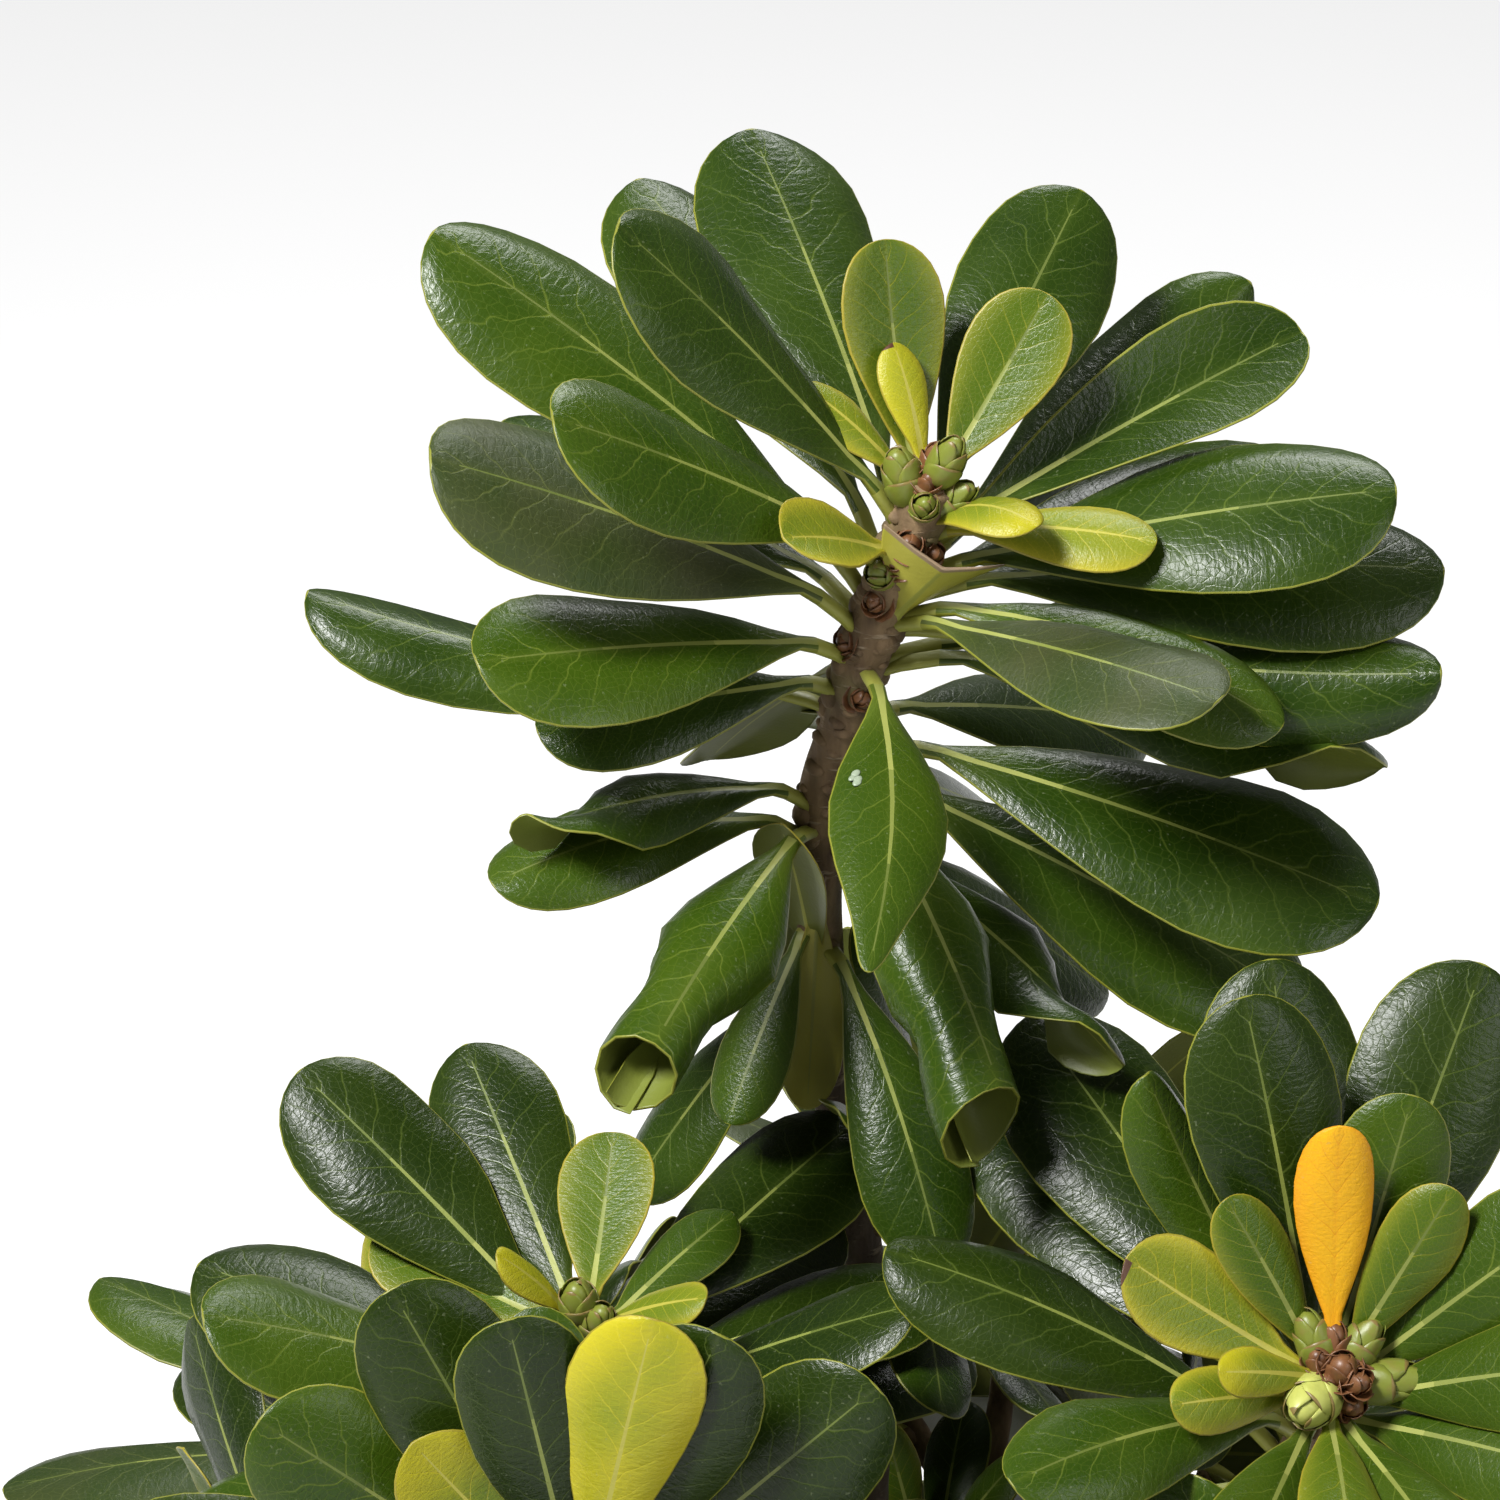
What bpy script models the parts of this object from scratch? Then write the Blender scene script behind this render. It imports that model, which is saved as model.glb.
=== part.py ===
# Pittosporum shrub, rooted in the ground.
# One tapering trunk carries nine side boughs and a leading shoot. Every bough ends in a mass of
# foliage: one stem that forks into shoots, each with a whorl of obovate leaves round its end bud.
# Metres, +Z up, seen from the front along +Y. The origin is the centre of the trunk's flat cut.

import math
import random

import bmesh
import bpy
from mathutils import Matrix, Vector
from mathutils.bvhtree import BVHTree

# Driving dimensions
GAP = 0.0003  # between pieces that meet
LEAF_LENGTH = 0.088  # full-grown leaf of a side shoot, stalk included
LEAF_HALF_WIDTH = 0.178  # share of the leaf's length
LEAF_THICK = 0.0012
STALK_SHARE = 0.13  # part of the leaf's length that is stalk
STALK_HALF_WIDTH = 0.0011
STALK_REACH = 0.5  # the blade is no narrower than its stalk up to this share of the length
ROOT_OUT = 0.3  # a stalk starts inside its twig, this share of the twig's radius from the middle
LEAVES_PER_SHOOT = 19
OLD_LEAVES = 4  # by rule at the foot of a shoot whose other leaves are given
GOLDEN_TURN = 137.5  # degrees from one leaf to the next round a shoot

TRUNK_FOOT_RADIUS = 0.0135
TRUNK_RADIUS = 0.0085
TRUNK_TOP_RADIUS = 0.0040
TRUNK_TAPER = 1.3  # over 1: the trunk tapers faster towards its top
FLARE_HEIGHT = 0.035
BOUGH_FOOT_RADIUS = 0.0046
BOUGH_TIP_RADIUS = 0.0034
TWIG_RADIUS = 0.0031
TWIG_TIP_RADIUS = 0.0027
LEADER_RADIUS = 0.0036
LEADER_TIP_RADIUS = 0.0040  # swollen by the crowded leaf scars
LEADER_SWELL = 2  # over 1: it swells mostly near its tip
TRUNK_SIDES, LEADER_SIDES, BOUGH_SIDES, STEM_SIDES, TWIG_SIDES = 12, 6, 7, 6, 3

FORK_DROP = 0.058  # from the middle of a mass's buds down to the fork of its stem
STEM_LENGTH = 0.026  # from the bough's tip to the fork
FORK_OUTWARD = 0.62  # how far the stem leans outward for each unit up
FOOT_RISE = 0.55  # how steeply a bough leaves the trunk
TWIG_SINK = 0.004  # a twig's foot lies this far below the fork
TWIG_PULL = 0.8  # how far a twig keeps to its end directions

# Centre line of the main stem: the trunk up to where the leading shoot starts, then the shoot
TRUNK_LINE = (
    Vector((0.000, 0.000, 0.000)),
    Vector((0.000, 0.001, 0.060)),
    Vector((0.006, 0.004, 0.150)),
    Vector((-0.003, 0.004, 0.270)),
    Vector((0.002, 0.000, 0.380)),
    Vector((-0.007, -0.006, 0.450)),
)
LEADER_LINE = (
    Vector((-0.007, -0.006, 0.450)),
    Vector((-0.009, -0.012, 0.505)),
    Vector((-0.004, -0.017, 0.530)),
    Vector((0.000, -0.021, 0.548)),
    Vector((0.012, -0.030, 0.585)),
)

# Side masses: the height of the bough's foot on the trunk, and for each shoot the reach of its
# bud from the trunk's axis, the turn round it (0 right, 90 back, 270 front), the bud's height,
# the lean of the shoot from upright and the turn that it leans to.
FRONT_MASSES = {
    "left_front": (
        0.285,
        ((0.092, 234, 0.433, 30, 235), (0.136, 247, 0.400, 42, 265), (0.136, 210, 0.362, 46, 205)),
    ),
    "right_front": (
        0.262,
        ((0.139, 308, 0.441, 62, 282), (0.157, 344, 0.392, 45, 340), (0.160, 284, 0.352, 50, 284)),
    ),
}
BACK_FOOT, BACK_REACH = 0.225, 0.116
BACK_MASSES = {"left_back": (152, 0.320), "right_back": (68, 0.345)}  # turn, height
LOW_FOOT = 0.085
LOW_FOOT_STEP = 0.011  # the boughs of the low whorl leave the trunk one above the other
LOW_TURNS = (200, 344, 272, 56, 128)
LOW_REACH, LOW_HEIGHT = 0.158, 0.262
SHOOT_SPREAD = 25  # degrees between the shoots of one mass, round the trunk
# The three shoots of a mass by rule: share of its reach, steps of the spread, rise, lean
RING_SHOOTS = ((0.94, 0, 0.022, 38), (1.0, -1, -0.022, 52), (1.0, 1, -0.008, 48))
FACE_SPREAD = 1.3  # the outer two lean this much further round than they stand
FIRST_SEED = 20

# Leaves by rule, from the youngest (age 0) to the oldest (age 1) of a shoot
YOUNGEST_DROP, DROP_GAIN, DROP_POWER = 0.002, 0.038, 1.1  # distance of the root below the bud
YOUNGEST_PITCH, PITCH_GAIN, PITCH_POWER = 26, 72, 0.85  # angle from the shoot in degrees
YOUNGEST_LENGTH, GROWN_AGE, LENGTH_POWER = 0.36, 0.32, 0.9  # share of the length, age when full
YOUNGEST_BEND, BEND_GAIN = 6, 34
OLD_AGE, TIP_ROLLS = 0.6, (0, 0, 0, 60)  # one in four of the older leaves has a rolled tip

FLAT_ANGLE = math.radians(0.5)  # faces that meet flatter than this are merged after joining

# Shapes that leaves take: bend along the leaf in degrees, half width over length, curl of the
# section (its edges turn down; where it is below zero they turn up), twist about the midrib,
# roll of the tip
LEAF_SHAPES = {
    "plain": {"bend": 14, "half_width": 0.174, "curl": 26, "twist": 0, "roll": 0},
    "broad": {"bend": 12, "half_width": 0.194, "curl": 22, "twist": 0, "roll": 0},
    "drooping": {"bend": 42, "half_width": 0.165, "curl": 34, "twist": 0, "roll": 0},
    "rolled": {"bend": 30, "half_width": 0.165, "curl": 40, "twist": 0, "roll": 150},
    "pointed": {"bend": -22, "half_width": 0.150, "curl": 62, "twist": 20, "roll": 0},
    "folded": {"bend": 10, "half_width": 0.150, "curl": -48, "twist": 0, "roll": 0},
    "young": {"bend": -12, "half_width": 0.215, "curl": -16, "twist": 0, "roll": 0},
    "small": {"bend": 24, "half_width": 0.190, "curl": 30, "twist": 0, "roll": 0},
    "slim": {"bend": -8, "half_width": 0.158, "curl": 18, "twist": 0, "roll": 0},
    "arched": {"bend": 84, "half_width": 0.205, "curl": 34, "twist": 0, "roll": 0},
    "trough": {"bend": 22, "half_width": 0.235, "curl": -24, "twist": 0, "roll": 0},
    "turned": {"bend": -14, "half_width": 0.130, "curl": 34, "twist": 160, "roll": 0},
}
FACING = 16  # degrees that a shown leaf which points sideways turns its face to the front

# Leaves that show from the front, youngest first: distance of the root below the bud in mm, turn
# round the shoot (0 front, 90 right), angle from the shoot, length in mm, shape
SHOWN_LEAVES = {
    ("leader", 0): (
        (3, 222, 48, 28, "small"),
        (5, 256, 68, 31, "small"),
        (6, 158, 38, 45, "young"),
        (7, 214, 46, 50, "young"),
        (15, 52, 48, 34, "arched"),
        (18, 312, 62, 36, "trough"),
        (12, 82, 68, 45, "small"),
        (14, 166, 58, 80, "broad"),
        (12, 272, 57, 85, "broad"),
        (15, 209, 75, 96, "broad"),
        (32, 36, 36, 30, "folded"),
        (18, 126, 60, 88, "folded"),
        (20, 292, 70, 84, "broad"),
        (22, 144, 69, 102, "pointed"),
        (23, 94, 60, 94, "broad"),
        (22, 218, 82, 102, "plain"),
        (24, 128, 78, 92, "broad"),
        (26, 98, 73, 104, "plain"),
        (28, 254, 74, 108, "plain"),
        (31, 86, 75, 105, "pointed"),
        (32, 230, 105, 98, "plain"),
        (34, 286, 75, 98, "broad"),
        (30, 72, 80, 80, "drooping"),
        (32, 54, 66, 76, "broad"),
        (40, 106, 88, 102, "broad"),
        (40, 298, 88, 82, "broad"),
        (40, 6, 103, 77, "plain"),
        (42, 90, 89, 102, "rolled"),
        (48, 290, 100, 62, "broad"),
        (52, 262, 95, 106, "pointed"),
        (44, 204, 146, 74, "plain"),
        (56, 126, 108, 82, "plain"),
        (60, 78, 87, 106, "broad"),
        (60, 172, 128, 84, "plain"),
        (66, 34, 111, 88, "rolled"),
        (68, 82, 102, 103, "broad"),
        (70, 148, 122, 82, "plain"),
        (76, 302, 84, 68, "rolled"),
        (82, 58, 110, 76, "rolled"),
        (80, 336, 102, 84, "rolled"),
        (84, 300, 88, 72, "drooping"),
        (84, 106, 126, 80, "plain"),
        (90, 350, 162, 52, "turned"),
        (98, 208, 140, 66, "plain"),
        (102, 326, 146, 46, "plain"),
        (122, 334, 16, 48, "plain"),
        (106, 22, 132, 74, "drooping"),
        (114, 290, 138, 62, "plain"),
    ),
    ("left_front", 0): (
        (3, 278, 30, 26, "small"),
        (4, 68, 61, 30, "small"),
        (5, 170, 74, 44, "young"),
        (5, 238, 79, 46, "young"),
        (8, 28, 52, 34, "folded"),
        (8, 136, 87, 41, "plain"),
        (10, 198, 69, 70, "broad"),
        (14, 218, 60, 80, "broad"),
        (14, 138, 80, 80, "broad"),
        (22, 138, 88, 80, "broad"),
        (20, 114, 84, 74, "plain"),
        (26, 76, 57, 72, "plain"),
        (24, 286, 68, 82, "broad"),
        (32, 64, 56, 58, "plain"),
        (32, 246, 82, 86, "broad"),
    ),
    ("left_front", 1): (
        (5, 164, 42, 68, "broad"),
        (8, 230, 52, 50, "young"),
        (10, 188, 41, 70, "broad"),
        (14, 214, 53, 78, "broad"),
        (18, 150, 40, 76, "broad"),
        (22, 246, 59, 80, "broad"),
        (24, 132, 54, 80, "broad"),
    ),
    ("left_front", 2): (
        (3, 262, 40, 42, "young"),
        (5, 96, 40, 44, "young"),
        (8, 150, 62, 66, "broad"),
        (12, 216, 60, 74, "broad"),
        (16, 288, 66, 80, "broad"),
        (20, 176, 84, 84, "broad"),
        (24, 244, 78, 86, "broad"),
    ),
    ("right_front", 0): (
        (3, 198, 43, 50, "slim"),
        (3, 288, 65, 27, "small"),
        (5, 256, 71, 46, "young"),
        (7, 230, 56, 42, "plain"),
        (8, 156, 42, 46, "plain"),
        (10, 276, 68, 36, "small"),
        (10, 2, 56, 52, "plain"),
        (12, 176, 47, 60, "broad"),
        (12, 28, 59, 62, "plain"),
        (14, 208, 46, 78, "broad"),
        (14, 136, 44, 64, "broad"),
        (14, 340, 64, 62, "plain"),
        (16, 96, 42, 66, "plain"),
        (16, 224, 63, 70, "pointed"),
        (18, 168, 66, 88, "broad"),
        (20, 64, 48, 66, "plain"),
        (20, 188, 66, 84, "broad"),
        (24, 216, 76, 98, "broad"),
        (24, 306, 76, 76, "drooping"),
        (28, 228, 84, 96, "broad"),
    ),
}


def clear_scene():
    for obj in list(bpy.data.objects):
        bpy.data.objects.remove(obj)


def material(name, colour, roughness):
    made = bpy.data.materials.new(name)
    made.use_nodes = True
    shader = made.node_tree.nodes["Principled BSDF"]
    shader.inputs["Base Color"].default_value = (*colour, 1.0)
    shader.inputs["Roughness"].default_value = roughness
    shader.inputs["Metallic"].default_value = 0.0
    return made


def from_turn(turn, reach, height=0.0):
    angle = math.radians(turn)
    return Vector((reach * math.cos(angle), reach * math.sin(angle), height))


def smooth_line(points, steps):
    """A curve through the points, with steps samples on each stretch between two of them."""
    line = []
    last = len(points) - 1
    for k in range(last):
        a, b, c, d = points[max(k - 1, 0)], points[k], points[k + 1], points[min(k + 2, last)]
        for step in range(steps):
            t = step / steps
            bow = (2 * a - 5 * b + 4 * c - d) * t**2 + (3 * b - a - 3 * c + d) * t**3
            line.append((2 * b + (c - a) * t + bow) / 2)
    return [*line, points[last].copy()]


def arch(start, start_way, end, end_way, steps):
    """A curve that leaves start along start_way and reaches end along end_way."""
    pull = (end - start).length
    line = []
    for step in range(steps + 1):
        t = step / steps
        line.append(
            start * (2 * t**3 - 3 * t**2 + 1)
            + start_way * pull * (t**3 - 2 * t**2 + t)
            + end * (3 * t**2 - 2 * t**3)
            + end_way * pull * (t**3 - t**2)
        )
    return line


def ways_along(line):
    """Unit direction of the line at each of its points."""
    last = len(line) - 1
    return [(line[min(k + 1, last)] - line[max(k - 1, 0)]).normalized() for k in range(last + 1)]


def taper(start, end, count, power=1):
    """Radii from start to end for the points of a line."""
    return [start + (end - start) * (k / (count - 1)) ** power for k in range(count)]


def tube_mesh(line, radii, sides, first_way=None, last_way=None):
    """A closed tube of rings bridged along the line. Its ends are flat caps."""
    ways = ways_along(line)
    ways[0] = first_way or ways[0]
    ways[-1] = last_way or ways[-1]
    side = ways[0].orthogonal().normalized()
    made = bmesh.new()
    loops = []
    for k, (point, way, radius) in enumerate(zip(line, ways, radii)):
        side = (side - way * side.dot(way)).normalized()
        frame = Matrix((side, way.cross(side), way)).transposed().to_4x4()
        frame.translation = point
        is_end = k in (0, len(line) - 1)
        ring = bmesh.ops.create_circle(made, cap_ends=is_end, segments=sides, radius=radius, matrix=frame)
        corners = set(ring["verts"])
        loops.append([edge for edge in made.edges if corners.issuperset(edge.verts)])
    for lower, upper in zip(loops, loops[1:]):
        bmesh.ops.bridge_loops(made, edges=lower + upper)
    bmesh.ops.triangulate(made, faces=made.faces)
    bmesh.ops.recalc_face_normals(made, faces=made.faces)
    return made


def object_from(made, name, finish):
    mesh = bpy.data.meshes.new(name)
    made.to_mesh(mesh)
    made.free()
    obj = bpy.data.objects.new(name, mesh)
    obj.data.materials.append(finish)
    bpy.context.scene.collection.objects.link(obj)
    return obj


def combine(target, operation, others):
    """Joins or cuts target with all the others at once, and removes them."""
    group = bpy.data.collections.new(target.name + "_tools")
    bpy.context.scene.collection.children.link(group)
    for obj in others:
        bpy.context.scene.collection.objects.unlink(obj)
        group.objects.link(obj)
    joint = target.modifiers.new("combine", "BOOLEAN")
    joint.operation = operation
    joint.operand_type = "COLLECTION"
    joint.collection = group
    joint.solver = "EXACT"
    evaluated = target.evaluated_get(bpy.context.evaluated_depsgraph_get())
    target.data = bpy.data.meshes.new_from_object(evaluated)
    target.modifiers.clear()
    for obj in others:
        bpy.data.objects.remove(obj)
    bpy.data.collections.remove(group)


def clean_solid(obj):
    """Fills sealed hollows and drops loose scraps, as only the largest shell stays, and merges flat faces."""
    made = bmesh.new()
    made.from_mesh(obj.data)
    unseen = set(made.verts)
    shells = []
    while unseen:
        front = [unseen.pop()]
        shell = set(front)
        while front:
            for edge in front.pop().link_edges:
                for vert in edge.verts:
                    if vert in unseen:
                        unseen.discard(vert)
                        shell.add(vert)
                        front.append(vert)
        shells.append(shell)
    shells.sort(key=len)
    for shell in shells[:-1]:
        bmesh.ops.delete(made, geom=list(shell), context="VERTS")
    bmesh.ops.dissolve_limit(made, angle_limit=FLAT_ANGLE, verts=made.verts, edges=made.edges)
    bmesh.ops.triangulate(made, faces=made.faces)
    made.to_mesh(obj.data)
    made.free()


# One leaf
# A leaf is a dictionary of its root, the shoot's way there (along), the way it points off the
# shoot (out) and its sizes. Its spine is an arc, and its cross-section curls about the midrib.

SPINE_STEPS = 20
TIP_ROLL_START = 0.78  # share of the length where a rolled tip starts to turn under
BLADE_RISE, BLADE_FALL = 1.15, 0.5  # the outline is b**rise * (1 - b)**fall along the blade
BLADE_PEAK = BLADE_RISE / (BLADE_RISE + BLADE_FALL)
OUTLINE_PEAK = BLADE_PEAK**BLADE_RISE * (1 - BLADE_PEAK) ** BLADE_FALL
LEAF_STATIONS = (0.0, 0.45, 0.80)  # where the solid leaf has a three-sided section
LEAF_END = 0.975  # where its outline ends in a short edge


def outline(share):
    """Half width at a share of the leaf's length, as a share of the widest half width."""
    blade = (share - STALK_SHARE) / (1 - STALK_SHARE)
    if blade <= 0 or blade >= 1:
        return 0.0
    return blade**BLADE_RISE * (1 - blade) ** BLADE_FALL / OUTLINE_PEAK


def spine(leaf):
    """Points and angles (from the shoot's way) along the midrib."""
    step = leaf["length"] / SPINE_STEPS
    along, out = 0.0, 0.0
    stations = []
    for k in range(SPINE_STEPS + 1):
        share = k / SPINE_STEPS
        angle = leaf["pitch"] + leaf["bend"] * (share - 0.5)
        angle += leaf["roll"] * max(0.0, (share - TIP_ROLL_START) / (1 - TIP_ROLL_START)) ** 2
        stations.append((along, out, angle))
        along += step * math.cos(math.radians(angle))
        out += step * math.sin(math.radians(angle))
    return stations


def leaf_point(leaf, stations, share, across):
    """The point of the leaf's surface at a share of its length and of its half width."""
    place = share * SPINE_STEPS
    k = min(int(place), SPINE_STEPS - 1)
    part = place - k
    along, out, angle = (a + (b - a) * part for a, b in zip(stations[k], stations[k + 1]))
    turn = math.radians(angle)
    side = leaf["along"].cross(leaf["out"])
    up = leaf["along"] * math.sin(turn) - leaf["out"] * math.cos(turn)
    twist = math.radians(leaf["twist"])
    side, up = side * math.cos(twist) + up * math.sin(twist), up * math.cos(twist) - side * math.sin(twist)
    half = max(leaf["half_width"] * outline(share), STALK_HALF_WIDTH if share < STALK_REACH else 0.0)
    curl = math.radians(leaf["curl"])
    spread, drop = half * math.sin(across * curl) / curl, half * (1 - math.cos(across * curl)) / curl
    return leaf["root"] + leaf["along"] * along + leaf["out"] * out + side * spread - up * drop, up


def leaf_corners(leaf, swell=0.0):
    """Corners of the solid leaf: left edge, midrib and right edge at each station, then its end edge."""
    stations = spine(leaf)
    corners = []
    for share in LEAF_STATIONS:
        middle, up = leaf_point(leaf, stations, share, 0.0)
        left, right = (leaf_point(leaf, stations, share, across)[0] for across in (-1.0, 1.0))
        rise = (middle - (left + right) / 2).dot(up)
        thick = math.copysign(max(abs(rise), LEAF_THICK), rise or 1.0) + swell * 2
        wide = (right - left).normalized() * swell
        corners += [left - wide - up * swell, (left + right) / 2 + up * thick, right + wide - up * swell]
    left, right = (leaf_point(leaf, stations, LEAF_END, across)[0] for across in (-1.0, 1.0))
    wide = (right - left).normalized() * swell
    ahead = (left + right - corners[-1] - corners[-3]).normalized() * swell
    return [*corners, left - wide + ahead, right + wide + ahead]


def leaf_faces():
    """Corner numbers of the solid leaf's faces, worked out for its three sections and end edge."""
    faces = [(0, 1, 2)]
    for k in range(len(LEAF_STATIONS) - 1):
        a, b = 3 * k, 3 * k + 3
        for i, j in ((0, 1), (1, 2), (2, 0)):
            faces += [(a + i, b + i, b + j), (a + i, b + j, a + j)]
    left = 3 * len(LEAF_STATIONS)
    a, b, c, right = left - 3, left - 2, left - 1, left + 1
    return [*faces, (a, left, b), (b, left, right), (b, right, c), (c, right, left), (c, left, a)]


LEAF_FACES = leaf_faces()


def leaf_object(leaf, finish):
    made = bmesh.new()
    corners = [made.verts.new(corner) for corner in leaf_corners(leaf)]
    for face in LEAF_FACES:
        made.faces.new([corners[k] for k in face])
    bmesh.ops.recalc_face_normals(made, faces=made.faces)
    return object_from(made, "leaf", finish)


# Shoots and their leaves


def shoot_frame(line, drop):
    """Point and way of a shoot at a distance below its bud."""
    for lower, upper in zip(line[-2::-1], line[:0:-1]):
        length = (upper - lower).length
        if drop <= length:
            break
        drop -= length
    way = (upper - lower).normalized()
    return upper - way * drop, way


def new_leaf(shoot, drop, turn, pitch, length, bend, half_width, curl, twist, roll):
    """A leaf of the shoot: turn is counted round it from the side that faces the front."""
    point, way = shoot_frame(shoot["line"], drop)
    front = Vector((0, -1, 0))
    front = (front - way * front.dot(way)).normalized()
    right = front.cross(way) * -1
    angle = math.radians(turn)
    out = front * math.cos(angle) + right * math.sin(angle)
    return {
        "root": point + out * shoot["radius"] * ROOT_OUT,
        "along": way,
        "out": out,
        "pitch": pitch,
        "length": length,
        "bend": bend,
        "half_width": half_width * length,
        "curl": curl,
        "twist": twist,
        "roll": roll,
    }


def shown_leaves(rows):
    leaves = []
    for drop, turn, pitch, length, shape in rows:
        sizes = {"drop": drop / 1000, "turn": turn, "pitch": pitch, "length": length / 1000}
        leaf = {**sizes, **LEAF_SHAPES[shape]}
        leaf["twist"] += FACING * math.sin(math.radians(turn))
        leaves.append(leaf)
    return leaves


def whorl_leaves(seed, first):
    """Leaves of a side shoot by rule, youngest first from the given one: each a golden turn on."""
    draw = random.Random(seed)
    leaves = []
    start = draw.uniform(0, 360)
    for k in range(LEAVES_PER_SHOOT):
        age = k / (LEAVES_PER_SHOOT - 1)
        grown = min(1.0, age / GROWN_AGE) ** LENGTH_POWER
        size = YOUNGEST_LENGTH + (1 - YOUNGEST_LENGTH) * grown
        leaf = {
            "drop": YOUNGEST_DROP + DROP_GAIN * age**DROP_POWER,
            "turn": start + GOLDEN_TURN * k + draw.uniform(-9, 9),
            "pitch": YOUNGEST_PITCH + PITCH_GAIN * age**PITCH_POWER + draw.uniform(-7, 7),
            "length": LEAF_LENGTH * size * draw.uniform(0.90, 1.06),
            "bend": YOUNGEST_BEND + BEND_GAIN * age + draw.uniform(-10, 10),
            "half_width": LEAF_HALF_WIDTH * draw.uniform(0.9, 1.1),
            "curl": draw.uniform(14, 46),
            "twist": draw.uniform(-12, 12),
            "roll": draw.choice(TIP_ROLLS) if age > OLD_AGE else 0,
        }
        if k >= first:
            leaves.append(leaf)
    return leaves


# Room for leaves: each new leaf has to stay clear of the wood and of every leaf placed before it

CLEARANCE = 0.0007
TRIES = [
    (turn, pitch, shrink)
    for shrink in (1.0, 0.88, 0.76)
    for pitch in (0, -9, 9, -18, 16)
    for turn in (0, 9, -9, 18, -18)
]
BLADE_FACES = LEAF_FACES[7:]  # the outer half of the leaf, past its first section


def solid_entry(owner, corners, faces, blade_faces=None):
    """What is kept of a solid: who owns it, a ball round it and its search trees."""
    centre = sum(corners, Vector()) / len(corners)
    return {
        "owner": owner,
        "centre": centre,
        "reach": max((corner - centre).length for corner in corners),
        "whole": BVHTree.FromPolygons(corners, faces),
        "blade": blade_faces and BVHTree.FromPolygons(corners, blade_faces),
    }


def wood_entry(obj):
    corners = [vert.co.copy() for vert in obj.data.vertices]
    return solid_entry(obj.name, corners, [tuple(face.vertices) for face in obj.data.polygons])


def is_clear(entry, placed, own_part):
    """Whether a leaf touches nothing; its own mass's wood is left out, and of its leaves own_part counts."""
    for other in placed:
        if (other["centre"] - entry["centre"]).length > entry["reach"] + other["reach"]:
            continue
        is_own = other["owner"] == entry["owner"]
        if is_own and not other["blade"]:
            continue
        part = own_part if is_own else "whole"
        if entry[part].overlap(other[part]):
            return False
    return True


def place_leaves(shoot, wanted, placed, own_part):
    """Fits each wanted leaf in the room that is left, turned or shortened a little if it must be."""
    kept = []
    for sizes in wanted:
        for turn, pitch, shrink in TRIES:
            changed = dict(sizes)
            changed["turn"] += turn
            changed["pitch"] += pitch
            changed["length"] *= shrink
            leaf = new_leaf(shoot, **changed)
            true, swollen = (
                solid_entry(shoot["owner"], leaf_corners(leaf, swell), LEAF_FACES, BLADE_FACES)
                for swell in (0.0, CLEARANCE)
            )
            if is_clear(swollen, placed, own_part) and is_clear(true, placed, own_part):
                placed.append(true)
                kept.append(leaf)
                break
    return kept


# The wood


def trunk_radius(height):
    share = height / TRUNK_LINE[-1].z
    flare = (TRUNK_FOOT_RADIUS - TRUNK_RADIUS) * max(0.0, 1 - height / FLARE_HEIGHT) ** 2
    return flare + TRUNK_RADIUS + (TRUNK_TOP_RADIUS - TRUNK_RADIUS) * share**TRUNK_TAPER


def trunk_line():
    return smooth_line(TRUNK_LINE, 3)


def trunk_point(height):
    line = trunk_line()
    for lower, upper in zip(line, line[1:]):
        if height <= upper.z:
            return lower.lerp(upper, (height - lower.z) / (upper.z - lower.z))
    return upper


def build_trunk(bark, swell=0.0):
    line = trunk_line()
    radii = [trunk_radius(point.z) + swell for point in line]
    return object_from(tube_mesh(line, radii, TRUNK_SIDES, first_way=Vector((0, 0, 1))), "trunk", bark)


def build_leader(foliage):
    """The leading shoot's stem, which goes on where the trunk ends."""
    line = smooth_line(LEADER_LINE, 3)
    line[0] = line[0] + (line[1] - line[0]).normalized() * GAP
    radii = taper(LEADER_RADIUS, LEADER_TIP_RADIUS, len(line), power=LEADER_SWELL)
    trunk_end_way = ways_along(trunk_line())[-1]
    stem = object_from(tube_mesh(line, radii, LEADER_SIDES, trunk_end_way), "leader_foliage", foliage)
    return stem, [new_shoot("leader", 0, line, LEADER_RADIUS, stem)]


def plan_mass(foot_height, shoots):
    """The lines of the bough and of the forked stem that end at a mass's buds."""
    foot = trunk_point(foot_height)
    buds = []
    for reach, turn, height, lean, face in shoots:
        way = from_turn(face, math.sin(math.radians(lean)), math.cos(math.radians(lean)))
        buds.append((from_turn(turn, reach, height), way))
    middle = sum((bud for bud, _ in buds), Vector()) / len(buds)
    outward = Vector((middle.x - foot.x, middle.y - foot.y, 0)).normalized()
    stem_way = (outward * FORK_OUTWARD + Vector((0, 0, 1))).normalized()
    fork = middle - stem_way * FORK_DROP
    joint = fork - stem_way * STEM_LENGTH
    foot_way = (outward + Vector((0, 0, FOOT_RISE))).normalized()
    twigs = []
    for bud, way in buds:
        root_way = (stem_way + (bud - fork).normalized()).normalized()
        twigs.append(arch(fork - stem_way * TWIG_SINK, root_way * TWIG_PULL, bud, way * TWIG_PULL, 4))
    return {
        "bough": arch(foot, foot_way, joint, stem_way, 6),
        "stem": [joint + stem_way * GAP, (joint + fork) / 2, fork],
        "stem_way": stem_way,
        "twigs": twigs,
    }


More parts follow.
